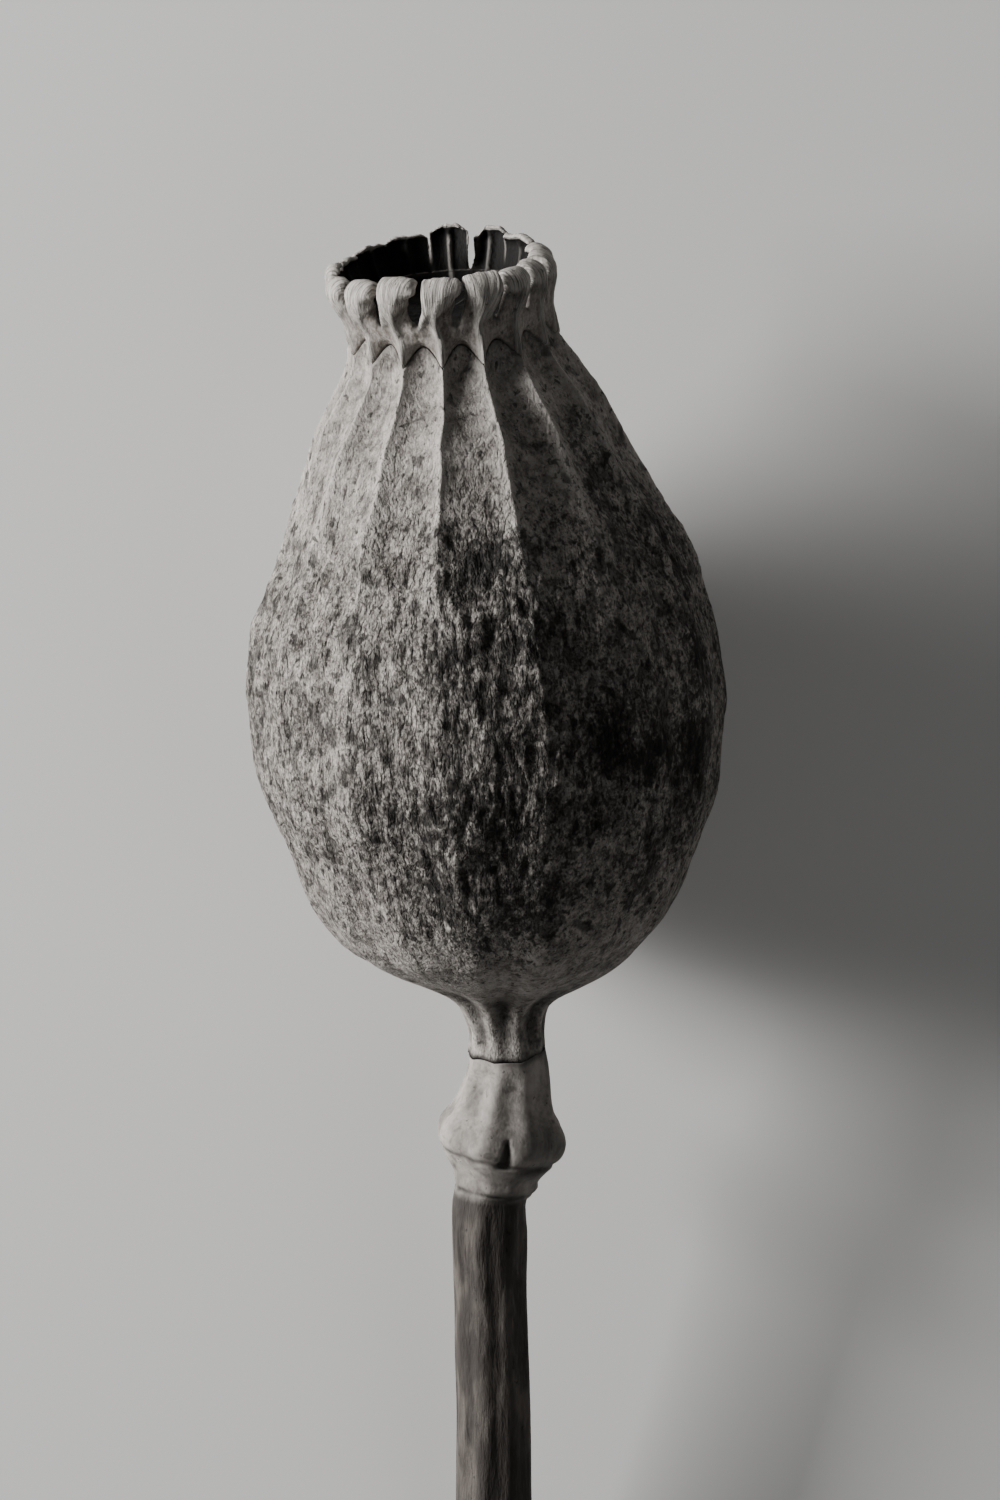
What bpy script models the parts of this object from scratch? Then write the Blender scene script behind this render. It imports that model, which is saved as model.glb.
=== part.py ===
"""A dried poppy seed head with a length of its stem, lying on its side.

Three grown pieces, each one closed solid:
  capsule  the ribbed pod with its short fluted foot
  crown    the stigma crown on the pod: a shallow cup with a curled lobe over every rib
  stem     the receptacle that carries the pod, with its ring scars, and the cut stem below it

The head is drawn standing, in head coordinates: height runs up its axis from the joint of foot
and receptacle, and azimuth runs round that axis from the front towards the right. It is then laid
down with its front upward, so that it rests on a small flat spot under the pod and on the tip of
the stem. World X is to the right, Y runs towards the crown, Z is up, and the origin is the middle
of the flat spot.
"""

import bisect
import math

import bmesh
import bpy
from mathutils import Matrix, Vector

# Driving dimensions. Lengths are in millimetres; MM turns them into metres.
MM = 0.001
GAP = 0.3
WELD = 0.01

RIBS = 16
RIB_PITCH = 2 * math.pi / RIBS
RIB_PHASE = math.radians(-5.0)
COLUMNS = RIBS * 5

# How the head lies: crown raised, crown leaned to the left, and how deep the flat spot is cut.
HEAD_RAISE = math.radians(8.0)
HEAD_LEAN = math.radians(4.5)
BELLY_HEIGHT = 25.2
FLAT_DEPTH = 1.2
CUTTER_SIZE = 40.0

# Pod outline: height above the joint, then its half width on the left and on the right.
CAPSULE_OUTLINE = (
    (0.0, 3.2, 3.1),
    (1.6, 3.0, 3.2),
    (3.2, 3.4, 3.7),
    (4.3, 4.0, 4.9),
    (5.2, 4.9, 6.9),
    (6.3, 6.7, 9.2),
    (7.6, 9.2, 11.1),
    (9.2, 11.7, 12.7),
    (11.5, 13.6, 14.5),
    (14.6, 15.2, 16.2),
    (18.2, 16.2, 17.8),
    (21.9, 17.6, 18.9),
    (25.4, 18.5, 19.5),
    (29.2, 18.5, 19.7),
    (33.0, 18.2, 19.4),
    (36.5, 17.5, 18.65),
    (39.2, 16.3, 18.0),
    (41.8, 15.1, 17.1),
    (44.5, 14.1, 15.7),
    (47.6, 12.8, 14.1),
    (50.4, 11.7, 12.9),
    (53.0, 10.3, 11.7),
    (55.2, 9.0, 10.3),
    (56.8, 8.3, 9.2),
    (58.4, 8.2, 8.5),
)
# Depth of the hollows between the ribs, at heights along the pod.
RIB_DEPTH = ((4.0, 0.0), (9.0, 0.3), (28.0, 0.45), (38.0, 0.5), (46.0, 0.75), (54.0, 1.0), (58.4, 0.9))
RIB_SHARPNESS = ((28.0, 1.3), (46.0, 0.8), (58.4, 0.7))
# On their way down the ribs wander round the pod: how much of it they have done at each height,
# and how far they go at the front and back, and more or less at the sides.
RIB_WANDER = ((20.0, 1.0), (42.0, 1.0), (56.0, 0.0))
WANDER_MIDDLE = math.radians(-3.0)
WANDER_SWING = math.radians(4.5)
FLUTES = 9
FLUTE_PHASE = math.radians(20.0)
FLUTE_DEPTH = ((0.0, 0.12), (2.5, 0.35), (5.0, 0.8), (7.0, 0.45), (9.5, 0.0))
# Low lumps of the skin: their depth, their turns round the pod, their waves along a millimetre.
LUMP_DEPTH = 0.15
LUMP_TURNS = (3, 2)
LUMP_WAVES = (0.11, 0.19)

# The head's top is tilted towards the front: its rise for each millimetre backward, and how much
# of that the pod's skin follows at each height.
CROWN_TILT = 0.117
TILT_SETS_IN = ((50.0, 0.0), (57.0, 1.0))

# The seam of pod and crown: an arch over each hollow, a point at each rib.
SEAM_AT_RIB = 57.6
SEAM_ARCH = 1.6
SEAM_DISC = 58.4
SEAM_DISC_SHARE = 0.75
SCALLOP_SHARE = 0.7
SEAM_STRETCH_FROM = 55.2

# The cup of the crown, as radius and height, from the middle of its floor over the wall and down.
CUP_FLOOR_RADIUS = 6.3
CUP_FOOT_RADIUS = 8.1
CUP_OUTLINE = (
    (0.0, 60.05),
    (2.8, 60.05),
    (CUP_FLOOR_RADIUS, 60.0),
    (6.9, 60.4),
    (7.15, 61.2),
    (7.8, 61.2),
    (7.95, 60.1),
    (CUP_FOOT_RADIUS, SEAM_DISC),
    (CUP_FOOT_RADIUS * SEAM_DISC_SHARE, SEAM_DISC),
    (0.0, SEAM_DISC),
)
CUP_OUTER_RADIUS = 7.5
CUP_RIB = 0.5
RAY_HEIGHT = 0.22

# A crown lobe, along its middle line: radius, height above the seam, width, thickness of its sheet,
# how far the keel stands out of it, and how far the keel stands aside as a share of half the width.
# The first lobe's top is rolled inward to a thick fan, the second one's still stands open.
ROLLED_LOBE = (
    (7.2, 0.3, 1.7, 0.6, 0.0, 0.0),
    (7.9, 1.2, 2.65, 0.75, 0.45, 0.0),
    (8.15, 2.2, 2.85, 0.7, 0.5, -0.1),
    (8.45, 3.2, 3.0, 0.8, 0.45, -0.25),
    (8.75, 4.2, 3.2, 1.05, 0.25, -0.4),
    (8.7, 5.0, 3.2, 1.15, 0.05, -0.45),
    (8.15, 5.65, 3.1, 1.0, 0.0, -0.3),
    (7.4, 5.95, 2.6, 0.6, 0.0, 0.0),
)
OPEN_LOBE = (
    (7.2, 0.3, 1.7, 0.6, 0.0, 0.0),
    (7.9, 1.2, 2.65, 0.7, 0.45, 0.0),
    (8.15, 2.2, 2.85, 0.65, 0.45, -0.05),
    (8.45, 3.2, 3.0, 0.6, 0.4, -0.1),
    (8.75, 4.2, 3.1, 0.55, 0.35, -0.15),
    (8.9, 5.0, 3.0, 0.5, 0.3, -0.15),
    (8.8, 5.6, 2.6, 0.5, 0.2, -0.1),
    (8.6, 5.95, 1.7, 0.45, 0.0, 0.0),
)
LOBE_SEAM = 59.2
LOBE_ROOT = 1.2
LOBE_SLIT = 0.3
# Each lobe from the front rib round to the right: its height, how far its tip leans inward, how
# far its keel stands aside as a share of the usual, and how far its top is rolled.
LOBES = (
    (5.2, 0.0, 1.0, 1.0),
    (5.25, 0.0, 0.1, 1.0),
    (4.9, 0.5, -0.5, 1.0),
    (4.8, 0.9, -0.4, 1.0),
    (4.75, 0.7, 0.2, 1.0),
    (4.6, 0.5, 0.4, 0.9),
    (4.95, 0.4, 0.3, 0.6),
    (5.3, -0.2, 0.5, 0.15),
    (5.45, -0.4, 0.3, 0.05),
    (4.85, -0.3, 0.6, 0.05),
    (4.6, -0.1, -0.3, 0.1),
    (4.45, 0.1, 0.4, 0.3),
    (4.9, 0.1, 0.6, 0.6),
    (4.45, 0.0, 0.8, 0.8),
    (4.8, 0.1, 0.9, 0.9),
    (5.35, -0.1, 1.1, 1.0),
)
# Cross-section of a lobe: half the keel's width, how far the sheet's edges and its inner face are
# drawn in as shares, and the height of the ray inside.
KEEL_HALF_WIDTH = 0.45
LOBE_EDGE = 0.3
LOBE_INNER_SHARE = 0.6
LOBE_RAY = 0.12
# The ring of lobes stands a little to the left of the pod's axis.
CROWN_SHIFT = -0.25

# Stem and receptacle: distance below the joint, then half width on the left and on the right.
STEM_OUTLINE = (
    (0.0, 3.15, 3.15),
    (1.4, 3.25, 3.25),
    (2.8, 3.4, 3.55),
    (4.0, 3.7, 3.9),
    (5.0, 4.2, 4.3),
    (5.9, 4.8, 4.9),
    (6.6, 5.0, 5.25),
    (7.2, 5.05, 5.35),
    (7.8, 4.95, 5.2),
    (8.6, 4.6, 4.65),
    (9.3, 4.05, 4.1),
    (10.1, 3.45, 3.65),
    (10.8, 3.2, 3.65),
    (11.4, 3.1, 3.3),
    (11.9, 3.05, 2.85),
    (13.0, 3.15, 2.9),
    (15.0, 3.05, 3.05),
    (19.0, 2.9, 2.95),
    (25.0, 2.95, 2.95),
    (32.0, 3.0, 3.0),
    (40.0, 3.05, 3.05),
    (48.0, 3.0, 3.0),
    (57.0, 2.95, 2.95),
    (66.0, 2.95, 2.95),
)
STEM_COLUMNS = 32
STEM_RIDGES = 8
STEM_RIDGE_PHASE = RIB_PHASE - 2 * math.pi / STEM_COLUMNS
STEM_RIDGE_DEPTH = ((0.0, 0.05), (2.0, 0.12), (7.0, 0.15), (9.0, 0.05), (12.0, 0.05), (16.0, 0.1))
# The pith in the stem's cut end: its share of the radius, and how far it has shrunk back.
STEM_PITH = (0.45, 0.6)
# The stem's middle line from the joint, in world directions: right, towards the crown, up.
STEM_ROUTE = (
    (0.0, 0.0, 0.0),
    (0.12, -1.5, -0.21),
    (-0.2, -3.9, -0.55),
    (-0.6, -7.5, -1.06),
    (-1.15, -11.0, -1.55),
    (-1.4, -15.0, -2.15),
    (-1.3, -22.0, -3.2),
    (-1.1, -30.0, -4.4),
    (-1.05, -38.0, -5.7),
    (-0.9, -47.0, -7.18),
    (-0.6, -56.0, -8.83),
    (-0.1, -65.0, -10.6),
    (0.5, -74.0, -12.5),
)

for old in list(bpy.data.objects):
    bpy.data.objects.remove(old, do_unlink=True)

parts = bpy.data.collections.new("poppy_seed_head")
cutters = bpy.data.collections.new("cutters")
bpy.context.scene.collection.children.link(parts)
bpy.context.scene.collection.children.link(cutters)


def smooth_value(points, place, column=1):
    """Read a column of a table at a place, on the smooth curve through the table's rows."""
    places = [point[0] for point in points]
    values = [point[column] for point in points]
    if place <= places[0]:
        return values[0]
    if place >= places[-1]:
        return values[-1]

    def slope(index):
        before, after = max(index - 1, 0), min(index + 1, len(points) - 1)
        return (values[after] - values[before]) / (places[after] - places[before])

    row = bisect.bisect_right(places, place) - 1
    span = places[row + 1] - places[row]
    t = (place - places[row]) / span
    rise = (3 - 2 * t) * t * t
    ease_out = t * (1 - t) * (1 - t) * slope(row)
    ease_in = t * t * (1 - t) * slope(row + 1)
    return values[row] + (values[row + 1] - values[row]) * rise + span * (ease_out - ease_in)


def hollow(azimuth):
    """0 on a rib's crest, 1 midway between two ribs."""
    return abs(math.sin(RIBS / 2 * (azimuth - RIB_PHASE)))


def seam_height(azimuth):
    return SEAM_AT_RIB + SEAM_ARCH * hollow(azimuth)


def outline_at(outline, place, azimuth):
    """Half width at a place along an outline, between its left and right ones."""
    left = smooth_value(outline, place, 1)
    right = smooth_value(outline, place, 2)
    return (left + right) / 2 + (right - left) / 2 * math.sin(azimuth)


def rib_wander(azimuth, height):
    """How far round the pod the rib at this azimuth has wandered, in radians."""
    return (WANDER_MIDDLE + WANDER_SWING * math.sin(azimuth)) * smooth_value(RIB_WANDER, height)


def capsule_radius(azimuth, height):
    """Radius of the pod's skin: its outline, less the hollows, the foot's flutes and low lumps."""
    on_skin = azimuth - rib_wander(azimuth, height)
    between_ribs = hollow(on_skin) ** smooth_value(RIB_SHARPNESS, height)
    between_flutes = (1 - math.cos(FLUTES * (azimuth - FLUTE_PHASE))) / 2
    lumps = 1.0
    for turns, waves in zip(LUMP_TURNS, LUMP_WAVES):
        lumps *= math.sin(turns * azimuth + waves * height)
    facing = math.cos(azimuth) ** 2
    return (
        outline_at(CAPSULE_OUTLINE, height, azimuth)
        - smooth_value(RIB_DEPTH, height) * between_ribs
        - smooth_value(FLUTE_DEPTH, height) * between_flutes
        + LUMP_DEPTH * lumps * facing
    )


def turn(name, outline, columns):
    """Turn an outline of (radius, height) about the Z axis with a Screw; return the new object."""
    mesh = bpy.data.meshes.new(name)
    points = [(radius * MM, 0.0, height * MM) for radius, height in outline]
    mesh.from_pydata(points, [(row, row + 1) for row in range(len(points) - 1)], [])
    piece = bpy.data.objects.new(name, mesh)
    parts.objects.link(piece)
    screw = piece.modifiers.new("turn", "SCREW")
    screw.steps = columns
    screw.render_steps = columns
    screw.use_merge_vertices = True
    screw.merge_threshold = WELD * MM
    settle(piece)
    return piece


def settle(piece):
    """Apply an object's modifiers to its mesh."""
    bpy.context.view_layer.update()
    evaluated = piece.evaluated_get(bpy.context.evaluated_depsgraph_get())
    finished = bpy.data.meshes.new_from_object(evaluated)
    piece.modifiers.clear()
    piece.data = finished
    finished.name = piece.name


def reshape(piece, rule):
    """Move every point of a turned mesh to where the rule puts its radius, azimuth and height."""
    for vertex in piece.data.vertices:
        x, y, z = vertex.co / MM
        azimuth = math.atan2(y, x) + RIB_PHASE
        vertex.co = Vector(rule(math.hypot(x, y), azimuth, z)) * MM


def round_the_axis(radius, azimuth, height):
    return radius * math.sin(azimuth), -radius * math.cos(azimuth), height


def tilted(point):
    """Tilt the top of the head towards the front."""
    x, y, z = point
    return Vector((x, y, z + CROWN_TILT * y * smooth_value(TILT_SETS_IN, z)))


def capsule_point(share, azimuth, height):
    """The pod is turned as a drum of radius 1, whose points follow the ribs and the skin."""
    if height <= 0:
        height = GAP / 2
    elif share < SCALLOP_SHARE:
        height = SEAM_DISC - GAP / 2
    elif height > SEAM_STRETCH_FROM:
        reach = (height - SEAM_STRETCH_FROM) / (SEAM_DISC - SEAM_STRETCH_FROM)
        height += reach * (seam_height(azimuth) - GAP / 2 - SEAM_DISC)
    azimuth += rib_wander(azimuth + rib_wander(azimuth, height), height)
    return tilted(round_the_axis(share * capsule_radius(azimuth, height), azimuth, height))


def crown_point(radius, azimuth, height):
    """The cup: its underside follows the pod's top, its wall is ribbed, its floor has rays."""
    if height <= SEAM_DISC:
        share = radius / CUP_FOOT_RADIUS
        height = seam_height(azimuth) if share > SCALLOP_SHARE else SEAM_DISC
        radius = share * capsule_radius(azimuth, height)
        height += GAP / 2
    elif radius > CUP_OUTER_RADIUS:
        radius += CUP_RIB * (1 - hollow(azimuth))
    else:
        height += RAY_HEIGHT * (1 - hollow(azimuth)) * min(radius / CUP_FLOOR_RADIUS, 1)
    return tilted(round_the_axis(radius, azimuth, height))


def stem_radius(distance, azimuth):
    """Radius of receptacle and stem, which are faceted by the same eight low ridges."""
    ridges = math.cos(STEM_RIDGES * (azimuth - STEM_RIDGE_PHASE))
    outline = outline_at(STEM_OUTLINE, distance, azimuth)
    return outline + smooth_value(STEM_RIDGE_DEPTH, distance) * ridges


def route_point(distance):
    """Point of the stem's middle line below the joint, in world directions."""
    places = [(-point[1],) + point for point in STEM_ROUTE]
    return Vector([smooth_value(places, distance, column) for column in (1, 2, 3)])


def stem_point(share, azimuth, height):
    """The stem is turned as a drum of radius 1 hanging from the joint, then bent to its route."""
    distance = max(-height, GAP / 2)
    radius = share * stem_radius(distance, azimuth)
    middle = route_point(distance)
    ahead = (route_point(distance + GAP) - route_point(distance - GAP)).normalized()
    side = (Vector((1, 0, 0)) - ahead * ahead.x).normalized()
    upper = side.cross(ahead)
    if upper.z < 0:
        upper.negate()
    return middle + radius * (math.sin(azimuth) * side + math.cos(azimuth) * upper)


def lobe_outline(width, thickness, keel, aside):
    """Cross-section of a lobe, as (across, outward): a keel on the outside, a ray inside."""
    half, skin = width / 2, thickness / 2
    keel_place = aside * half
    return (
        (-half, skin * LOBE_EDGE),
        (keel_place - KEEL_HALF_WIDTH, skin),
        (keel_place, skin + keel),
        (keel_place + KEEL_HALF_WIDTH, skin),
        (half, skin * LOBE_EDGE),
        (half * LOBE_INNER_SHARE, -skin),
        (0.0, -skin - LOBE_RAY),
        (-half * LOBE_INNER_SHARE, -skin),
    )


def crown_lobe(number):
    """One lobe of the crown, lofted along its middle line over rib number `number`."""
    turned = Matrix.Rotation(RIB_PHASE + number * RIB_PITCH - math.pi / 2, 3, "Z")
    tall, lean, keel_aside, roll = LOBES[number]
    blade = ROLLED_LOBE[-1][1] - LOBE_ROOT
    stations = []
    for opened, rolled in zip(OPEN_LOBE, ROLLED_LOBE):
        stations.append([wide + roll * (curled - wide) for wide, curled in zip(opened, rolled)])
    line = []
    for radius, height, *_ in stations:
        share = max(height - LOBE_ROOT, 0.0) / blade
        height = min(height, LOBE_ROOT) + share * (tall - LOBE_ROOT)
        line.append(Vector((radius - lean * share**2, 0.0, LOBE_SEAM + height)))
    shape = bmesh.new()
    rings = []
    for row, (_, height, width, thickness, keel, aside) in enumerate(stations):
        ahead = (line[min(row + 1, len(line) - 1)] - line[max(row - 1, 0)]).normalized()
        outward = Vector((ahead.z, 0.0, -ahead.x))
        shift = Vector((CROWN_SHIFT * min(height / LOBE_ROOT, 2.0) / 2, 0.0, 0.0))
        width = min(width, line[row].x * RIB_PITCH - LOBE_SLIT)
        ring = []
        for across, out in lobe_outline(width, thickness, keel, aside * keel_aside):
            point = line[row] + outward * out + Vector((0.0, across, 0.0))
            ring.append(shape.verts.new(tilted(turned @ point + shift) * MM))
        rings.append(ring)
    for low, high in zip(rings, rings[1:]):
        for side in range(len(low)):
            after = (side + 1) % len(low)
            shape.faces.new((low[side], low[after], high[after], high[side]))
    shape.faces.new(rings[0])
    shape.faces.new(rings[-1])
    bmesh.ops.recalc_face_normals(shape, faces=shape.faces)
    mesh = bpy.data.meshes.new("lobe")
    shape.to_mesh(mesh)
    shape.free()
    return bpy.data.objects.new("lobe", mesh)


def surface(name, colour, roughness):
    material = bpy.data.materials.new(name)
    material.use_nodes = True
    shader = material.node_tree.nodes["Principled BSDF"]
    shader.inputs["Base Color"].default_value = (*colour, 1.0)
    shader.inputs["Roughness"].default_value = roughness
    shader.inputs["Metallic"].default_value = 0.0
    return material


def finish(piece, material, sharp_angle):
    piece.data.materials.clear()
    piece.data.materials.append(material)
    piece.data.shade_smooth()
    piece.data.set_sharp_from_angle(angle=math.radians(sharp_angle))


def boolean(piece, name, operation):
    modifier = piece.modifiers.new(name, "BOOLEAN")
    modifier.operation = operation
    modifier.solver = "EXACT"
    return modifier


def build_capsule(head):
    wall = [(1.0, height) for height, _, _ in reversed(CAPSULE_OUTLINE)]
    drum = [(0.0, SEAM_DISC), (SEAM_DISC_SHARE, SEAM_DISC)] + wall + [(0.0, 0.0)]
    capsule = turn("capsule", drum, COLUMNS)
    reshape(capsule, capsule_point)
    capsule.parent = head
    table_mesh = bpy.data.meshes.new("rest_surface")
    shape = bmesh.new()
    bmesh.ops.create_cube(shape, size=CUTTER_SIZE * MM)
    shape.to_mesh(table_mesh)
    shape.free()
    table = bpy.data.objects.new("rest_surface", table_mesh)
    table.location = (0.0, 0.0, -CUTTER_SIZE * MM / 2)
    table.hide_render = True
    table.display_type = "WIRE"
    cutters.objects.link(table)
    boolean(capsule, "flat_spot", "DIFFERENCE").object = table
    finish(capsule, surface("capsule_skin", (0.30, 0.27, 0.24), 0.82), 40)
    return capsule


def build_crown(head):
    crown = turn("crown", CUP_OUTLINE, COLUMNS)
    reshape(crown, crown_point)
    lobes = bpy.data.collections.new("lobes")
    bpy.context.scene.collection.children.link(lobes)
    for number in range(RIBS):
        lobes.objects.link(crown_lobe(number))
    union = boolean(crown, "lobes", "UNION")
    union.operand_type = "COLLECTION"
    union.collection = lobes
    settle(crown)
    for lobe in list(lobes.objects):
        bpy.data.objects.remove(lobe, do_unlink=True)
    bpy.data.collections.remove(lobes)
    crown.parent = head
    finish(crown, surface("crown_skin", (0.34, 0.31, 0.27), 0.75), 50)
    return crown


def build_stem(joint):
    tip, pith_share, pith_depth = STEM_OUTLINE[-1][0], *STEM_PITH
    wall = [(1.0, -distance) for distance, _, _ in STEM_OUTLINE]
    drum = [(0.0, 0.0)] + wall + [(pith_share, -tip), (0.0, pith_depth - tip)]
    stem = turn("stem", drum, STEM_COLUMNS)
    reshape(stem, stem_point)
    stem.location = joint
    finish(stem, surface("stem_skin", (0.26, 0.23, 0.20), 0.7), 40)
    return stem


belly_radius = capsule_radius(math.pi, BELLY_HEIGHT)
belly_reach = BELLY_HEIGHT * math.cos(HEAD_RAISE) + belly_radius * math.sin(HEAD_RAISE)
belly_drop = belly_radius * math.cos(HEAD_RAISE) - BELLY_HEIGHT * math.sin(HEAD_RAISE)
joint_place = Vector(
    (
        belly_reach * math.sin(HEAD_LEAN),
        -belly_reach * math.cos(HEAD_LEAN),
        belly_drop - FLAT_DEPTH,
    )
) * MM

head_axis = bpy.data.objects.new("head_axis", None)
head_axis.location = joint_place
head_axis.rotation_euler = (HEAD_RAISE - math.pi / 2, 0.0, HEAD_LEAN)
parts.objects.link(head_axis)

build_capsule(head_axis)
build_crown(head_axis)
build_stem(joint_place)
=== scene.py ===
# %% [markdown]
# # A dried poppy seed head
# The object is one grown thing in three parts: a ribbed pod, a crown of sixteen curled lobes on
# its neck, and a receptacle with the stem below it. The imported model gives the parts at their
# real size, with plain skins. Each step here grows one of them again with the fine relief of dry
# plant skin, in the same place and the same form, and then gives it a material.

import math

import bpy
import numpy as np
from mathutils import Euler, Matrix, Vector, noise


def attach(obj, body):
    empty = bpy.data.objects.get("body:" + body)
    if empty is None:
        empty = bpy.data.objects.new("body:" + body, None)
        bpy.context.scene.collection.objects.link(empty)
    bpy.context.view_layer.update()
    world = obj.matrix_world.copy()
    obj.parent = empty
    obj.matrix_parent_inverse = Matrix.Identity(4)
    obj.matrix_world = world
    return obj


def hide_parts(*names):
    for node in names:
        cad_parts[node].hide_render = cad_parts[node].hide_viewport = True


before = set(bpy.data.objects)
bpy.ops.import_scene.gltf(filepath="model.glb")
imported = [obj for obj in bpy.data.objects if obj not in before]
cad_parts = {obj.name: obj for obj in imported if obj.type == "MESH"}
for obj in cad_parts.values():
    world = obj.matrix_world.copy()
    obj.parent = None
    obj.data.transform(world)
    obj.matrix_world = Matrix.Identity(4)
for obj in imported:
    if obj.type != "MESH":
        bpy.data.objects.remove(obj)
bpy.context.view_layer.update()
print("the frame holds", ", ".join(sorted(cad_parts)))

# %% [markdown]
# ## Where the head lies
# The head is easiest to describe standing up: heights run up its axis from the joint of foot and
# receptacle, and azimuths run round it from the front towards the right. The object lies on a
# table with its front upward, so one matrix turns those head coordinates into places on the
# table. Lengths are in millimetres until a mesh is finished.

# %% Head coordinates
MM = 0.001
RIBS = 16
RIB_PITCH = 2 * math.pi / RIBS
RIB_PHASE = math.radians(-5.0)
JOINT_PLACE = Vector((2.1616, -27.4653, 13.7604))
HEAD_RAISE = math.radians(8.0)
HEAD_LEAN = math.radians(4.5)

head_turn = Euler((HEAD_RAISE - math.pi / 2, 0.0, HEAD_LEAN)).to_matrix()
head_matrix = Matrix.Translation(JOINT_PLACE) @ head_turn.to_4x4()


def on_table(points):
    """Head coordinates to places on the table, for an array of points whose last axis is x, y, z."""
    turn = np.array(head_turn)
    return points @ turn.T + np.array(JOINT_PLACE)


def round_the_axis(radius, azimuth, height):
    """Points in head coordinates from a radius, an azimuth and a height."""
    return np.stack([radius * np.sin(azimuth), -radius * np.cos(azimuth), height], axis=-1)


print("the head's axis points along", [round(v, 3) for v in head_turn.col[2]])

# %% [markdown]
# ## Camera
# The photograph looks at the head level with its crown, from just above the rim. With the head
# laid down, the same view looks down on the table. A long lens keeps the picture nearly free of
# perspective, as it is in the photograph.

# %% Camera
VIEW_TARGET = Vector((1.6, -3.1, 18.5))
VIEW_TILT = math.radians(3.5)
VIEW_DISTANCE = 650.0
VIEW_HEIGHT = 119.3
SENSOR = 36.0

camera_data = bpy.data.cameras.new("camera")
camera_data.sensor_width = SENSOR
camera_data.lens = SENSOR * VIEW_DISTANCE / VIEW_HEIGHT
camera_data.clip_start = 0.01
camera = bpy.data.objects.new("camera", camera_data)
towards_camera = Vector((0.0, math.sin(VIEW_TILT), math.cos(VIEW_TILT)))
camera.location = (VIEW_TARGET + towards_camera * VIEW_DISTANCE) * MM
camera.rotation_euler = (-VIEW_TILT, 0.0, 0.0)
bpy.context.scene.collection.objects.link(camera)
bpy.context.scene.camera = camera
print("lens", round(camera_data.lens), "mm")

# %% [markdown]
# ## Table and light
# The photograph is lit by one window-like light from the left, low enough to rake across the
# ribs and leave the right side dim. A large softbox stands there, a faint second one fills the
# other side, and the sky of the studio is a weak even grey. The table is pale and matt, so that
# it throws a little light back under the pod.

# %% Table and light
TABLE_SIZE = 3.0


def softbox(name, place, size, power):
    """A square area light that faces the middle of the pod."""
    light = bpy.data.lights.new(name, "AREA")
    light.shape = "SQUARE"
    light.size = size
    light.energy = power
    lamp = bpy.data.objects.new(name, light)
    lamp.location = place
    aim = Vector((0.0, 0.0, VIEW_TARGET.z * MM)) - lamp.location
    lamp.rotation_euler = aim.to_track_quat("-Z", "Y").to_euler()
    bpy.context.scene.collection.objects.link(lamp)
    return lamp


softbox("window_light", Vector((-0.58, 0.14, 0.17)), 0.26, 10.5)
softbox("fill_light", Vector((0.5, -0.2, 0.7)), 0.6, 0.85)

world = bpy.data.worlds.new("studio")
world.use_nodes = True
world.node_tree.nodes["Background"].inputs["Color"].default_value = (0.95, 0.97, 1.0, 1.0)
world.node_tree.nodes["Background"].inputs["Strength"].default_value = 0.04
bpy.context.scene.world = world

table_mesh = bpy.data.meshes.new("table")
half = TABLE_SIZE / 2
corners = [(-half, -half, 0.0), (half, -half, 0.0), (half, half, 0.0), (-half, half, 0.0)]
table_mesh.from_pydata(corners, [], [(0, 1, 2, 3)])
table = bpy.data.objects.new("table", table_mesh)
bpy.context.scene.collection.objects.link(table)

# %% [markdown]
# ## Reading a grown outline
# A seed head has no straight lines, so its outlines are short tables of measured places with a
# smooth curve through them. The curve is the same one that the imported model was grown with. The
# helpers here read such a table at many places at once, make patches of noise, and close a
# stack of rings into a skin.

# %% Helpers for outlines, noise and skins
def along(table, places, column=1):
    """Read a column of a table at many places, on the smooth curve through its rows."""
    rows = np.array([(row[0], row[column]) for row in table], float)
    x, y = rows[:, 0], rows[:, 1]
    before = np.maximum(np.arange(len(x)) - 1, 0)
    after = np.minimum(np.arange(len(x)) + 1, len(x) - 1)
    slopes = (y[after] - y[before]) / (x[after] - x[before])
    places = np.clip(places, x[0], x[-1])
    row = np.clip(np.searchsorted(x, places, side="right") - 1, 0, len(x) - 2)
    span = x[row + 1] - x[row]
    t = (places - x[row]) / span
    rise = (3 - 2 * t) * t * t
    ease = t * (1 - t) * ((1 - t) * slopes[row] - t * slopes[row + 1])
    return y[row] + (y[row + 1] - y[row]) * rise + span * ease


def step_up(start, end, value):
    """0 before start, 1 after end, and a smooth rise between them."""
    t = np.clip((value - start) / (end - start), 0.0, 1.0)
    return t * t * (3 - 2 * t)


def noise_at(points, size, length=1.0, seed=0.0):
    """Smooth noise from -1 to 1 with waves `size` mm wide, `length` times as long up the axis."""
    flat = points.reshape(-1, 3) / (size, size, size * length) + (seed, seed * 2, seed * 3)
    values = np.array([noise.noise(place) for place in flat.tolist()])
    return values.reshape(points.shape[:-1])


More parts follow.
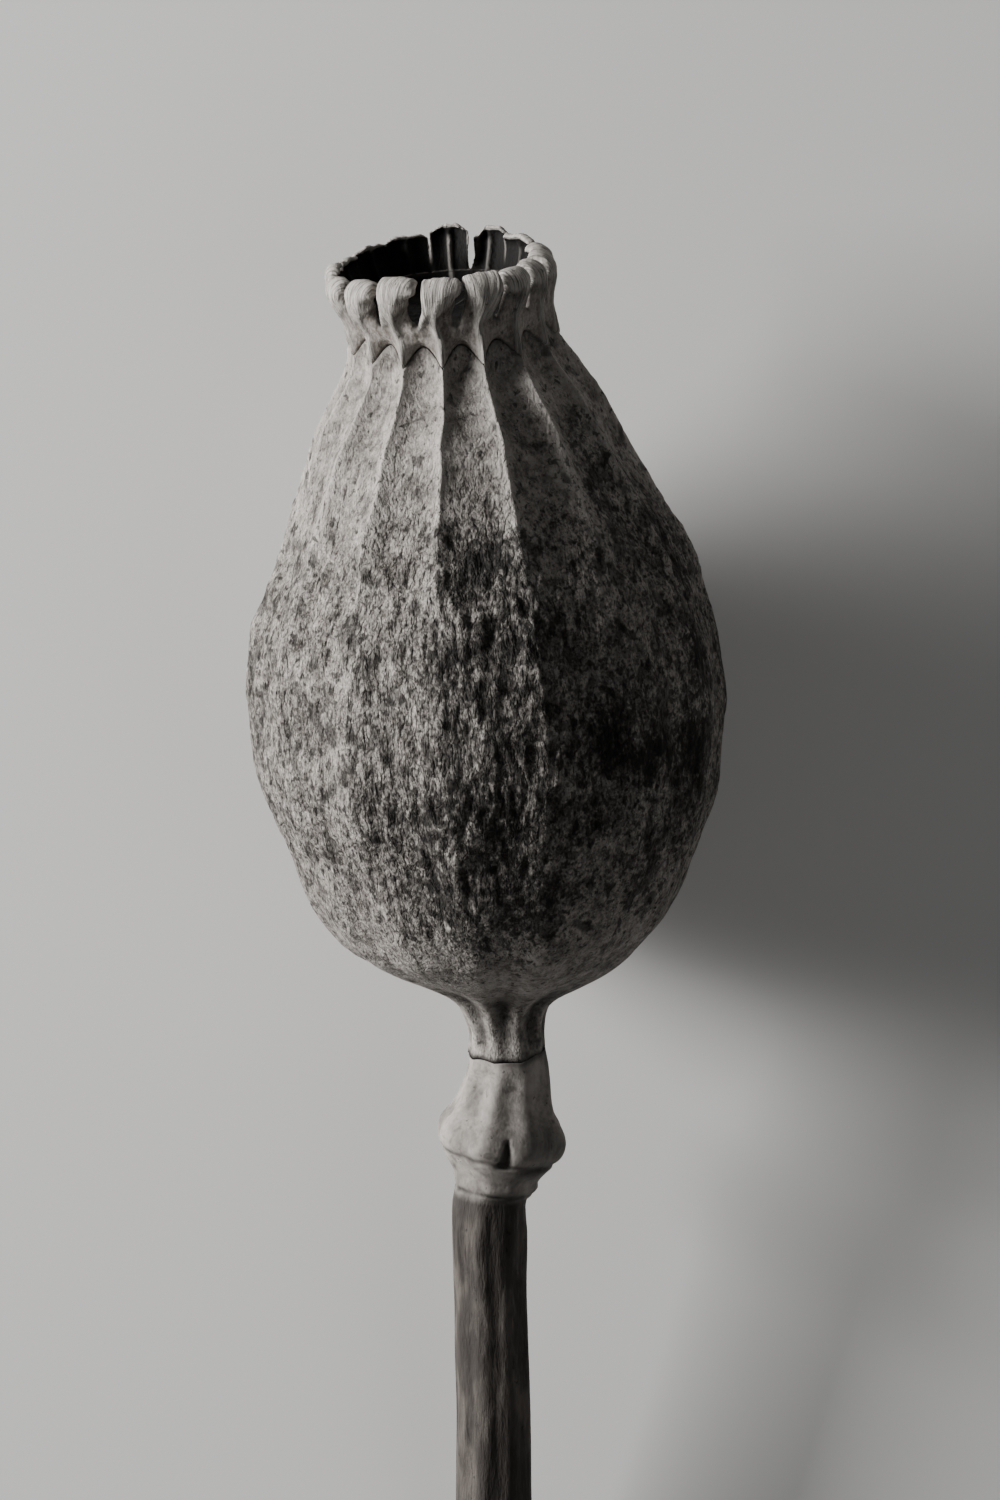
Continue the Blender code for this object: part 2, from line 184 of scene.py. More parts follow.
def ringed_skin(name, rings, ends):
    """A closed skin over rings of points in mm (rows, columns, 3), with one point in each end."""
    rows, columns, _ = rings.shape
    points = np.vstack([rings.reshape(-1, 3), np.asarray(ends)]) * MM
    low = np.arange(rows - 1)[:, None] * columns + np.arange(columns)
    low_after = np.roll(low, -1, axis=1)
    quads = np.stack([low, low_after, low_after + columns, low + columns], axis=-1)
    first, first_after = low[0], low_after[0]
    last, last_after = low[-1] + columns, low_after[-1] + columns
    bottom = np.full(columns, rows * columns)
    caps = [np.stack([first_after, first, bottom], axis=-1)]
    caps.append(np.stack([last, last_after, bottom + 1], axis=-1))
    mesh = bpy.data.meshes.new(name)
    mesh.from_pydata(points.tolist(), [], quads.reshape(-1, 4).tolist() + np.vstack(caps).tolist())
    mesh.shade_smooth()
    piece = bpy.data.objects.new(name, mesh)
    bpy.context.scene.collection.objects.link(piece)
    return piece


def store(piece, name, values):
    """Keep a number or a vector on every point of a piece, for its material to read."""
    values = np.asarray(values, np.float32)
    if values.ndim == 2:
        attribute = piece.data.attributes.new(name, "FLOAT_VECTOR", "POINT")
        attribute.data.foreach_set("vector", values.ravel())
    else:
        attribute = piece.data.attributes.new(name, "FLOAT", "POINT")
        attribute.data.foreach_set("value", values)


# %% [markdown]
# ## Form of the pod
# The pod is a swollen bottle, a little fuller on its right, with sixteen ribs that are sharp at
# the neck and sink into the skin lower down. A modelled and sculpted drum could hold it, but a
# formula for the radius at every azimuth and height is easier to steer, and it repeats the ribs
# exactly over the crown's lobes.

# %% Form of the pod
POD_OUTLINE = (
    (0.0, 3.2, 3.1),
    (1.6, 3.0, 3.2),
    (3.2, 3.4, 3.7),
    (4.3, 4.0, 4.9),
    (5.2, 4.9, 6.9),
    (6.3, 6.7, 9.2),
    (7.6, 9.2, 11.1),
    (9.2, 11.7, 12.7),
    (11.5, 13.6, 14.5),
    (14.6, 15.2, 16.2),
    (18.2, 16.2, 17.8),
    (21.9, 17.6, 18.9),
    (25.4, 18.5, 19.5),
    (29.2, 18.5, 19.7),
    (33.0, 18.2, 19.4),
    (36.5, 17.5, 18.65),
    (39.2, 16.3, 18.0),
    (41.8, 15.1, 17.1),
    (44.5, 14.1, 15.7),
    (47.6, 12.8, 14.1),
    (50.4, 11.7, 12.9),
    (53.0, 10.3, 11.7),
    (55.2, 9.0, 10.3),
    (56.8, 8.3, 9.2),
    (58.4, 8.2, 8.5),
)
RIB_DEPTH = ((4.0, 0.0), (9.0, 0.3), (28.0, 0.45), (38.0, 0.5), (46.0, 0.75), (54.0, 1.0), (58.4, 0.9))
RIB_SHARPNESS = ((28.0, 1.3), (46.0, 0.8), (58.4, 0.7))
# The ribs wander to the left on their way down: by how much at each height, in degrees.
RIB_WANDER = ((20.0, 1.0), (42.0, 1.0), (56.0, 0.0))
WANDER_MIDDLE = math.radians(-3.0)
WANDER_SWING = math.radians(4.5)
# No rib is quite straight: waves of this height in mm and this swing in degrees, up to the seam.
RIB_WAVES = (2.4, 0.9)
RIB_WAVES_FADE = (53.0, 56.5)
FLUTES = 9
FLUTE_PHASE = math.radians(20.0)
FLUTE_DEPTH = ((0.0, 0.12), (2.5, 0.35), (5.0, 0.8), (7.0, 0.45), (9.5, 0.0))
LUMP_DEPTH = 0.15
LUMP_TURNS = (3, 2)
LUMP_WAVES = (0.11, 0.19)
SEAM_AT_RIB = 57.6
SEAM_ARCH = 1.6
SEAM_DISC = 58.4
SEAM_STRETCH_FROM = 55.2
# The head's top is tilted towards the front: its rise for each millimetre backward, and how much
# of that the pod's skin follows at each height.
CROWN_TILT = 0.117
TILT_SETS_IN = ((50.0, 0.0), (57.0, 1.0))


def tilted(points):
    """Tilt the top of the head towards the front."""
    rise = CROWN_TILT * points[..., 1] * along(TILT_SETS_IN, points[..., 2])
    return np.stack([points[..., 0], points[..., 1], points[..., 2] + rise], axis=-1)


def hollow(azimuth):
    """0 on a rib's crest, 1 midway between two ribs."""
    return np.abs(np.sin(RIBS / 2 * (azimuth - RIB_PHASE)))


def seam_height(azimuth):
    return SEAM_AT_RIB + SEAM_ARCH * hollow(azimuth)


def rib_wander(azimuth, height):
    """How far round the pod the ribs have wandered from their places at the neck, in radians."""
    drift = (WANDER_MIDDLE + WANDER_SWING * np.sin(azimuth)) * along(RIB_WANDER, height)
    rib = np.round((azimuth - drift - RIB_PHASE) / RIB_PITCH) % RIBS
    size, swing = RIB_WAVES
    waves = noise_at(np.stack([rib * 3.1 * size, 0 * height, height], axis=-1), size)
    return drift + math.radians(swing) * waves * step_up(*reversed(RIB_WAVES_FADE), height)


def pod_radius(azimuth, height):
    """Radius of the pod's skin without its fine relief."""
    left = along(POD_OUTLINE, height, 1)
    right = along(POD_OUTLINE, height, 2)
    outline = (left + right) / 2 + (right - left) / 2 * np.sin(azimuth)
    between_ribs = hollow(azimuth - rib_wander(azimuth, height)) ** along(RIB_SHARPNESS, height)
    between_flutes = (1 - np.cos(FLUTES * (azimuth - FLUTE_PHASE))) / 2
    lumps = 1.0
    for turns, waves in zip(LUMP_TURNS, LUMP_WAVES):
        lumps = lumps * np.sin(turns * azimuth + waves * height)
    return (
        outline
        - along(RIB_DEPTH, height) * between_ribs
        - along(FLUTE_DEPTH, height) * between_flutes
        + LUMP_DEPTH * lumps * np.cos(azimuth) ** 2
    )


# %% [markdown]
# ## Skin of the pod
# The dry skin is corky round the belly: low swellings, upright wrinkles less than a millimetre
# apart, and longer cracks that meander between them. It grows smooth towards the neck and the
# foot. A sculpt by hand would do it once; layers of noise, drawn out along the axis, do it all
# round. A crack is a place where a slow noise crosses zero, which gives thin winding lines.

# %% Grow the pod
POD_COLUMNS = 600
POD_ROWS = 158
POD_EDGE = 0.04
EDGE_ROUNDS = ((1.0, 0.0), (0.996, 0.02), (0.98, 0.035), (0.9, 0.0), (0.7, -0.1))
CORK_ZONE = (
    (6.0, 0.0),
    (10.0, 0.35),
    (16.0, 0.8),
    (24.0, 1.0),
    (40.0, 0.95),
    (46.0, 0.6),
    (51.0, 0.3),
    (56.0, 0.1),
)
SWELLING = (7.0, 0.28)
DIMPLES = (2.4, 0.26)
WRINKLES = (0.8, 0.25)
WRINKLE_LENGTH = 3.3
PITS = (0.42, 0.11)
CRACK = (1.4, 0.17)
CRACK_WIDTH = 0.08
JOINT_DIP = (math.radians(13.0), 0.7, 0.4)
JOINT_SCALLOP = 0.12


def evenly_spaced(outline, count):
    """Heights up the pod that are the same distance apart along its outline."""
    fine = np.linspace(outline[0][0], outline[-1][0], 2000)
    reach = np.hypot(np.diff(fine), np.diff(along(outline, fine)))
    walked = np.concatenate([[0.0], np.cumsum(reach)])
    return np.interp(np.linspace(0.0, walked[-1], count), walked, fine)


def joint_dip(azimuth):
    """How far the foot's skirt hangs down over the receptacle, in mm."""
    place, half, depth = JOINT_DIP
    apart = np.arctan2(np.sin(azimuth - place), np.cos(azimuth - place))
    teeth = 1 - np.abs(np.sin(FLUTES / 2 * (azimuth - FLUTE_PHASE)))
    return depth * np.exp(-((apart / half) ** 2)) + JOINT_SCALLOP * teeth


def pod_relief(points, height):
    """Fine relief of the skin in mm, and how deep in a crack each point is, from 0 to 1."""
    zone = along(CORK_ZONE, height)
    patchy = zone * (0.65 + 0.55 * noise_at(points, 11.0, 1.3, 3.0))
    relief = SWELLING[1] * noise_at(points, SWELLING[0], 1.2, 1.0) * np.sqrt(zone)
    relief += DIMPLES[1] * noise_at(points, DIMPLES[0], 1.8, 5.0) * zone
    relief += WRINKLES[1] * noise_at(points, WRINKLES[0], WRINKLE_LENGTH, 7.0) * patchy
    pitted = np.maximum(patchy, 0.4 * step_up(5.0, 9.0, height))
    relief += PITS[1] * noise_at(points, PITS[0], 1.3, 9.0) * pitted
    wave = noise_at(points, CRACK[0], WRINKLE_LENGTH, 11.0)
    crack = np.exp(-((wave / CRACK_WIDTH) ** 2)) * step_up(0.25, 0.8, patchy)
    return relief - CRACK[1] * crack, crack


azimuths = np.arange(POD_COLUMNS) * 2 * math.pi / POD_COLUMNS + RIB_PHASE
heights = evenly_spaced(POD_OUTLINE, POD_ROWS)
azimuth, height = np.meshgrid(azimuths, heights)
reach = np.clip((height - SEAM_STRETCH_FROM) / (SEAM_DISC - SEAM_STRETCH_FROM), 0.0, 1.0)
height = np.maximum(height + reach * (seam_height(azimuth) - POD_EDGE - SEAM_DISC), POD_EDGE)
smooth_radius = pod_radius(azimuth, height)
pod_points = round_the_axis(smooth_radius, azimuth, height)
relief, pod_crack = pod_relief(pod_points, height)
hanging = height - joint_dip(azimuth) * step_up(2.2, 0.0, height)
pod_rings = round_the_axis(smooth_radius + relief, azimuth, hanging)
edge_rings = []
for share, rise in EDGE_ROUNDS[1:]:
    edge_rings.append(round_the_axis(smooth_radius[-1] * share, azimuths, height[-1] + rise))
edge_rings[-1][:, 2] = SEAM_DISC - POD_EDGE
pod_rings = np.concatenate([pod_rings, np.array(edge_rings)])
pod_ends = np.array([(0.0, 0.0, POD_EDGE), (0.0, 0.0, SEAM_DISC - POD_EDGE)])
pod_on_table = on_table(tilted(pod_rings))
pod_on_table[..., 2] = np.maximum(pod_on_table[..., 2], 0.0)
pod = ringed_skin("pod_skin", pod_on_table, on_table(tilted(pod_ends)))
print("pod:", len(pod.data.vertices), "points, relief", relief.min().round(2), relief.max().round(2))

# %% [markdown]
# ## What the pod's material needs to know
# The pod has soot-dark stains in certain places. Its rib crests are made paler as painted
# highlight, and painted shade darkens its cracks, the recesses of its foot, its lower edge and the
# seam. Each point of the mesh keeps its place in head coordinates, so that textures follow the
# head, and a few amounts from 0 to 1 that the material turns into colour.

# %% Marks on the pod
# Stains on the side that the photograph shows: azimuth, height, half width, half height, amount.
STAINS = (
    (6.0, 42.5, 9.0, 2.8, 1.0),
    (-4.0, 43.5, 7.0, 2.0, 0.6),
    (12.0, 37.0, 8.0, 3.0, 0.75),
    (-2.0, 34.0, 10.0, 3.5, 0.55),
    (31.0, 28.0, 9.0, 3.0, 0.9),
    (43.0, 26.0, 10.0, 2.6, 1.0),
    (60.0, 25.0, 9.0, 4.0, 0.95),
    (66.0, 32.5, 5.0, 3.0, 0.8),
    (68.0, 42.0, 8.0, 5.0, 0.7),
    (-14.0, 23.0, 14.0, 3.5, 0.6),
    (3.0, 21.0, 12.0, 5.0, 0.75),
    (-16.0, 16.0, 12.0, 3.5, 0.7),
    (8.0, 15.5, 13.0, 4.0, 0.8),
    (-10.0, 12.3, 12.0, 2.2, 0.6),
    (24.0, 22.0, 5.0, 2.2, 0.7),
    (47.0, 17.0, 7.0, 4.0, 0.6),
    (52.0, 47.5, 9.0, 5.0, 0.55),
    (10.0, 28.5, 9.0, 2.5, 0.5),
)
BACK_STAIN = 0.55


def stains_at(points, azimuth, height):
    """Amount of dark stain: the listed places at the front, noise all round the back."""
    amount = np.zeros_like(height)
    for place, level, half_width, half_height, strength in STAINS:
        apart = azimuth - math.radians(place)
        across = np.degrees(np.arctan2(np.sin(apart), np.cos(apart))) / half_width
        up = (height - level) / half_height
        amount = np.maximum(amount, strength * np.exp(-0.8 * (across**2 + up**2)))
    back = step_up(0.15, -0.4, np.cos(azimuth)) * along(CORK_ZONE, height)
    cloud = noise_at(points, 8.0, 0.8, 21.0) + 0.5 * noise_at(points, 3.5, 0.9, 23.0)
    return np.maximum(amount, back * BACK_STAIN * step_up(0.0, 0.45, cloud))


def skirt(values, rows_after):
    """Carry the last ring's values over the rings and the points that close a skin."""
    closing = np.tile(values[-1], rows_after)
    return np.concatenate([values.ravel(), closing, [values[0, 0], values[-1, 0]]])


edge_count = len(EDGE_ROUNDS) - 1
pod_place = np.vstack([pod_rings.reshape(-1, 3), pod_ends])
# Painted highlight: the rib crests towards the neck are made paler in colour.
crest = (1 - hollow(azimuth - rib_wander(azimuth, height))) ** 3 * step_up(30.0, 50.0, height)
between_flutes = (1 - np.cos(FLUTES * (azimuth - FLUTE_PHASE))) / 2
# Painted shade in the recesses between the foot's flutes.
recess_shade = between_flutes * step_up(0.3, 2.0, height) * step_up(7.0, 4.5, height)
stain = stains_at(pod_points, azimuth, height)
store(pod, "head_place", pod_place)
store(pod, "stain", skirt(stain, edge_count))
store(pod, "crack", skirt(pod_crack, edge_count))
store(pod, "crest", skirt(crest, edge_count))
store(pod, "cork", skirt(along(CORK_ZONE, height), edge_count))
store(pod, "recess_shade", skirt(recess_shade, edge_count))
# Painted shade: a dark line along the seam, in the hollows between ribs.
seam_shade = step_up(0.6, 0.0, seam_height(azimuth) - height) * step_up(0.05, 0.35, hollow(azimuth))
store(pod, "seam", skirt(seam_shade, edge_count))
# Painted shade: a dark band round the pod's lower edge, where its skirt hangs over the receptacle.
store(pod, "joint", skirt(step_up(0.55, 0.1, height), edge_count))
print("stained share of the pod:", round(float((stain > 0.4).mean()), 2))

# %% [markdown]
# ## Crown
# The crown is a shallow cup whose rim is cut into sixteen lobes. Each lobe is a thin web with a
# raised keel that carries on the pod's rib, and a thick fan of fibres that spreads from the
# keel, rolls over the top and curls inward. The lobes could be one mesh copied sixteen times,
# but no two are alike on the real crown, so each is grown from its own row of numbers. The cup
# and the lobes are then melted into one skin by a voxel remesh, which also softens the joins as
# growth does.

# %% One lobe of the crown
# Along a lobe's middle line: step, radius, height above the seam, width, thickness, keel place.
# The first table is a lobe whose top rolls inward, the second one that still stands open.
ROLLED_LOBE = (
    (0, 7.2, 0.3, 2.1, 0.55, 0.0),
    (1, 7.85, 1.2, 3.2, 0.55, 0.0),
    (2, 8.15, 2.2, 3.3, 0.5, -0.1),
    (3, 8.45, 3.2, 3.4, 0.5, -0.25),
    (4, 8.75, 4.25, 3.5, 0.55, -0.4),
    (5, 8.82, 5.15, 3.5, 0.6, -0.45),
    (6, 8.4, 5.8, 3.4, 0.6, -0.35),
    (7, 7.6, 5.95, 3.0, 0.45, 0.0),
)
OPEN_LOBE = (
    (0, 7.2, 0.3, 2.1, 0.55, 0.0),
    (1, 7.85, 1.2, 3.2, 0.5, 0.0),
    (2, 8.15, 2.2, 3.3, 0.45, -0.05),
    (3, 8.45, 3.2, 3.3, 0.4, -0.1),
    (4, 8.75, 4.2, 3.45, 0.34, -0.15),
    (5, 8.88, 5.0, 3.4, 0.3, -0.15),
    (6, 8.8, 5.6, 3.2, 0.27, -0.1),
    (7, 8.6, 5.95, 2.4, 0.24, 0.0),
)
LOBE_SEAM = 59.2
LOBE_ROOT = 1.2
# The slit between two lobes, and the heights above the seam over which it opens.
LOBE_SLIT = 0.27
SLIT_OPENS = (1.5, 2.3)
CROWN_SHIFT = -0.25
KEEL_HEIGHT = 0.4
KEEL_HALF_WIDTH = ((0.0, 0.34), (2.0, 0.36), (3.5, 0.45), (6.0, 0.7))
FAN_HEIGHT = 0.42
FAN_RISE = 1.7
FAN_FOLDS = (0.36, 0.05)
TOP_RAGGED = (0.16, 0.3)
EDGE_CURL = ((0.0, 0.0), (1.5, 0.1), (3.5, 0.5), (5.0, 0.7), (6.0, 0.6))
# Each lobe from the front rib round to the right: height, inward lean, how far its keel leans
# aside as a share of the usual, lower margin of its fan at the left edge, the keel and the right
# edge as heights above the seam, how much its edges curl inward, how far its top is rolled, the
# gap in its web on the right, and how much narrower its top is, both in mm. A lobe with a top
# that is wider than usual, below nought, has grown together with its neighbours.
LOBES = (
    (5.2, 0.0, 1.0, 1.7, 2.6, 5.3, 0.1, 1.0, 0.55, 0.0),
    (5.25, 0.0, 0.1, 5.5, 2.2, 2.6, 0.1, 1.0, 0.25, 0.0),
    (4.9, 0.5, -0.5, 4.8, 4.4, 4.6, 0.2, 1.0, 0.12, 0.6),
    (4.8, 0.9, -0.4, 4.6, 4.2, 4.5, 0.3, 1.0, 0.12, 0.9),
    (4.75, 0.7, 0.2, 4.4, 4.0, 4.4, 0.3, 1.0, 0.12, 0.9),
    (4.6, 0.5, 0.4, 4.3, 3.8, 4.3, 0.4, 0.9, 0.15, 0.9),
    (4.95, 0.3, 0.3, 4.5, 4.2, 4.6, 0.6, 0.4, 0.0, -0.1),
    (5.3, -0.2, 0.5, 5.0, 4.6, 5.2, 0.7, 0.15, 0.75, -0.1),
    (5.45, -0.4, 0.3, 5.3, 5.0, 5.4, 1.0, 0.05, 0.0, 0.0),
    (4.85, -0.3, 0.6, 5.0, 4.6, 4.9, 0.2, 0.05, 0.0, -0.6),
    (4.6, -0.1, -0.3, 4.7, 4.5, 4.8, 0.15, 0.1, 0.0, -0.6),
    (4.45, 0.1, 0.4, 4.4, 4.0, 4.5, 0.4, 0.3, 0.2, -0.2),
    (4.9, 0.1, 0.6, 3.6, 2.8, 4.0, 0.5, 0.5, 0.3, 0.4),
    (4.45, 0.0, 0.8, 2.4, 2.2, 3.9, 0.3, 0.8, 0.3, 0.3),
    (4.8, 0.1, 0.9, 1.8, 2.2, 4.6, 0.2, 0.9, 0.6, 0.2),
    (5.35, -0.1, 1.1, 1.8, 2.4, 5.6, 0.1, 1.0, 0.95, 0.0),
)
# Over which heights a gap opens, and over which a rolled fan closes it again; how deep its side is.
GAP_OPENS = (1.5, 3.0)
FAN_CLOSES = (4.3, 5.3)
GAP_RECESS = 0.9
TOP_NARROWS = (3.8, 5.2)
GROWN_TOGETHER = 0.35
# The tops of the front lobes have drifted to the right, by this much and over these heights.
TOP_DRIFT = 0.65
TOP_DRIFTS = (1.5, 4.5)
ACROSS_STEPS = 40
ALONG_STEPS = 80


def lobe_value(number, step, column):
    """A column of the lobe tables, between the open and the rolled form as far as the lobe is."""
    rolled = LOBES[number][7]
    return (1 - rolled) * along(OPEN_LOBE, step, column) + rolled * along(ROLLED_LOBE, step, column)


def lobe_line(number, step):
    """Middle line of a lobe at steps along it: radius, height above the seam, unlifted height."""
    tall, lean = LOBES[number][:2]
    plain = lobe_value(number, step, 2)
    share = np.maximum(plain - LOBE_ROOT, 0.0) / (ROLLED_LOBE[-1][2] - LOBE_ROOT)
    lifted = np.minimum(plain, LOBE_ROOT) + share * (tall - LOBE_ROOT)
    return lobe_value(number, step, 1) - lean * share**2, lifted, plain


def top_drift(azimuth, height):
    """How far the lobes' tops have drifted round the crown, in mm."""
    return TOP_DRIFT * np.maximum(np.cos(azimuth), 0.0) * step_up(*TOP_DRIFTS, height)


def lobe_facing(number, step):
    """Outward direction of a lobe's sheet at steps along it, as radius and height."""
    ahead_radius, ahead_lifted, _ = lobe_line(number, step + 0.05)
    back_radius, back_lifted, _ = lobe_line(number, step - 0.05)
    facing = np.stack([ahead_lifted - back_lifted, back_radius - ahead_radius])
    return facing / np.linalg.norm(facing, axis=0)


def fan_margin(number, across):
    """Height of the lower margin of a lobe's fan, from one edge (-1) of the lobe to the other."""
    aside, left, keel, right = LOBES[number][2:6]
    keel_place = -0.4 * aside
    on_left = left + (keel - left) * np.clip((across + 1) / (keel_place + 1), 0, 1)
    on_right = keel + (right - keel) * np.clip((across - keel_place) / (1 - keel_place), 0, 1)
    return np.where(across < keel_place, on_left, on_right)


def lobe_rings(number):
    """Rings of points round one lobe, in head coordinates, from its root to its tip."""
    steps = np.linspace(0, 7, ALONG_STEPS)
    step, across = np.meshgrid(steps, np.linspace(-1, 1, ACROSS_STEPS), indexing="ij")
    radius, lifted, plain = lobe_line(number, step)
    facing = lobe_facing(number, step)
    roll, curl_share = LOBES[number][7], LOBES[number][6]
    gap, narrower = LOBES[number][8:10]
    joined = GROWN_TOGETHER * (narrower < 0)
    slit = (LOBE_SLIT - 1.5 * joined) * step_up(*SLIT_OPENS, plain)
    slit = slit + narrower * step_up(*TOP_NARROWS, plain)
    half_width = np.minimum(lobe_value(number, step, 3) + joined, radius * RIB_PITCH - slit) / 2
    gap_here = gap * step_up(*GAP_OPENS, plain) * (1 - roll * step_up(*FAN_CLOSES, plain))
    on_right_side = np.maximum(across, 0.0)
    seed = np.stack([across * 1.3, plain, np.full_like(plain, 4.1 * number)], axis=-1)
    ragged = noise_at(seed, 0.5, 1.0, 2.0)
    along_middle = seed * (0, 1, 1)
    half_width = half_width * (1 + 0.03 * noise_at(along_middle, 0.9) * np.sign(across))
    top_waves = noise_at(seed * (1, 0, 1), 0.55, 1.0, 6.0) * (step / 7) ** 2
    lifted = lifted + (TOP_RAGGED[0] * roll + TOP_RAGGED[1] * (1 - roll)) * top_waves
    keel_place = lobe_value(number, step, 5) * LOBES[number][2]
    keel_far = (across - keel_place) * half_width / along(KEEL_HALF_WIDTH, plain)
    keel = np.exp(-(keel_far**2))
    fan = step_up(-0.6, FAN_RISE, plain - fan_margin(number, across) + 0.3 * ragged)
    proud = 1 - (1 - fan) * (1 - keel * KEEL_HEIGHT / FAN_HEIGHT)
    proud *= 1 - (step / 7) ** 8
    rounding = np.sqrt(np.clip(1 - np.abs(across) ** 10, 0, 1))
    half_thick = lobe_value(number, step, 4) / 2 * (0.35 + 0.65 * rounding)
    curl = along(EDGE_CURL, plain) * curl_share * np.abs(across) ** 2.5
    curl = curl + GAP_RECESS * gap_here * on_right_side**3
    folds = noise_at(seed * (1.3, 0.4, 1), FAN_FOLDS[0], 1.0, 8.0) * FAN_FOLDS[1] * fan
    fan_height = FAN_HEIGHT * (0.3 + 0.7 * roll)
    outer = half_thick + fan_height * proud * np.minimum(rounding * 1.4, 1.0) + folds * roll - curl
    ray = 0.3 * np.exp(-((across / 0.14) ** 2)) * step_up(7.0, 5.0, step)
    inner = -half_thick - ray - curl
    azimuth = RIB_PHASE + number * RIB_PITCH
    sway = 0.12 * noise_at(along_middle, 2.2) * step_up(1.0, 4.0, plain) + top_drift(azimuth, plain)
    sides = []
    for offset in (outer, inner):
        out = radius + facing[0] * offset
        up = LOBE_SEAM + lifted + facing[1] * offset
        sides.append(np.stack([out, across * half_width - gap_here * on_right_side + sway, up], axis=-1))
    ring = np.concatenate([sides[0], sides[1][:, ::-1]], axis=1)
    shift = CROWN_SHIFT * np.minimum(plain[:, :1] / LOBE_ROOT, 2.0) / 2
    x = ring[..., 0] * math.sin(azimuth) + ring[..., 1] * math.cos(azimuth) + shift
    y = -ring[..., 0] * math.cos(azimuth) + ring[..., 1] * math.sin(azimuth)
    return np.stack([x, y, ring[..., 2]], axis=-1)


print("one lobe has", ALONG_STEPS * ACROSS_STEPS * 2, "points before it is melted in")

# %% [markdown]
# ## Cup of the crown
# Under the lobes the crown is one piece: a floor with a low ray to every lobe, a wall, and an
# underside that follows the arches of the pod's neck. It is turned like a bowl, and its rings
# are then pushed to the same seam as the pod's, a hair above it, so that the join shows as the
# thin dark line of the real one.

# %% Turn the cup
CUP_COLUMNS = 480
CUP_FLOOR = ((0.0, 60.25), (1.0, 60.1), (2.8, 60.05), (6.3, 60.0), (6.9, 60.4), (7.15, 61.0))
CUP_WALL = ((7.4, 61.25), (7.75, 61.2), (8.0, 60.7), (8.02, 60.1), (8.08, 59.4))
CUP_LIP = 0.1
CUP_RIB = 0.42
RAY_HEIGHT = 0.26


def cup_rings():
    """Rings of the cup from the middle of its underside, over the wall, to the middle of the floor."""
    azimuth = np.arange(CUP_COLUMNS) * 2 * math.pi / CUP_COLUMNS + RIB_PHASE
    on_rib = 1 - hollow(azimuth)
    seam = seam_height(azimuth) + POD_EDGE
    rings = []
    for share in (0.02, 0.4, 0.7):
        level = SEAM_DISC + POD_EDGE + 0 * azimuth
        rings.append(round_the_axis(share * pod_radius(azimuth, seam), azimuth, level))
    lip = pod_radius(azimuth, seam) + CUP_LIP
    for inset, rise in ((-0.9, 0.0), (-0.3, 0.0), (-0.08, 0.06), (0.0, 0.2)):
        rings.append(round_the_axis(lip + inset, azimuth, seam + rise))
    for share in (0.35, 0.7):
        level = seam + 0.2 + share * (CUP_WALL[-1][1] + 0.5 - seam - 0.2)
        wall = CUP_WALL[-1][0] + CUP_RIB * on_rib
        rings.append(round_the_axis(lip + share * (wall - lip), azimuth, level))
    for radius, level in reversed(CUP_WALL[:-1]):
        ribbed = radius + CUP_RIB * on_rib * step_up(7.3, 7.9, radius)
        rings.append(round_the_axis(ribbed, azimuth, level + 0 * azimuth))
    for radius, level in reversed(CUP_FLOOR[1:]):
        ray = RAY_HEIGHT * on_rib**1.5 * min(radius / 4.0, 1.0)
        rings.append(round_the_axis(radius + 0 * azimuth, azimuth, level + ray))
    rings.append(round_the_axis(0.1 + 0 * azimuth, azimuth, CUP_FLOOR[0][1] + 0 * azimuth))
    return np.array(rings)


cup_ends = np.array([(0.0, 0.0, SEAM_DISC + POD_EDGE), (0.0, 0.0, CUP_FLOOR[0][1])])
cup = ringed_skin("cup", cup_rings() / MM, cup_ends / MM)
pieces = [cup]
for number in range(RIBS):
    rings = lobe_rings(number)
    ends = np.stack([rings[0].mean(axis=0), rings[-1].mean(axis=0)])
    pieces.append(ringed_skin("lobe", rings / MM, ends / MM))
print("crown pieces:", len(pieces))

# %% [markdown]
# ## Melt the crown together
# The remesh works at about a seventh of a millimetre, in a copy that is a thousand times too
# large, because the tool has a smallest voxel. Three rounds of smoothing take away its steps, and
# then fine fibres are pressed into the fans and keels along the direction in which they spread.

# %% Melt the crown together
VOXEL = 0.135
SMOOTH_ROUNDS = 3


def join(name, pieces):
    """One object with the meshes of several."""
    points, faces, start = [], [], 0
    for piece in pieces:
        mesh = piece.data
        points += [vertex.co[:] for vertex in mesh.vertices]
        faces += [[start + corner for corner in polygon.vertices] for polygon in mesh.polygons]
        start += len(mesh.vertices)
        bpy.data.objects.remove(piece, do_unlink=True)
    mesh = bpy.data.meshes.new(name)
    mesh.from_pydata(points, [], faces)
    joined = bpy.data.objects.new(name, mesh)
    bpy.context.scene.collection.objects.link(joined)
    return joined


def settle(piece):
    """Apply an object's modifiers to its mesh."""
    bpy.context.view_layer.update()
    evaluated = piece.evaluated_get(bpy.context.evaluated_depsgraph_get())
    finished = bpy.data.meshes.new_from_object(evaluated)
    piece.modifiers.clear()
    piece.data = finished


crown = join("crown_lobes", pieces)
melt = crown.modifiers.new("melt", "REMESH")
melt.mode = "VOXEL"
melt.voxel_size = VOXEL
relax = crown.modifiers.new("relax", "SMOOTH")
relax.factor = 0.5
relax.iterations = SMOOTH_ROUNDS
settle(crown)
crown_points = np.empty(len(crown.data.vertices) * 3)
crown.data.vertices.foreach_get("co", crown_points)
crown_points = crown_points.reshape(-1, 3)
print("crown:", len(crown_points), "points,", len(crown.data.polygons), "faces")

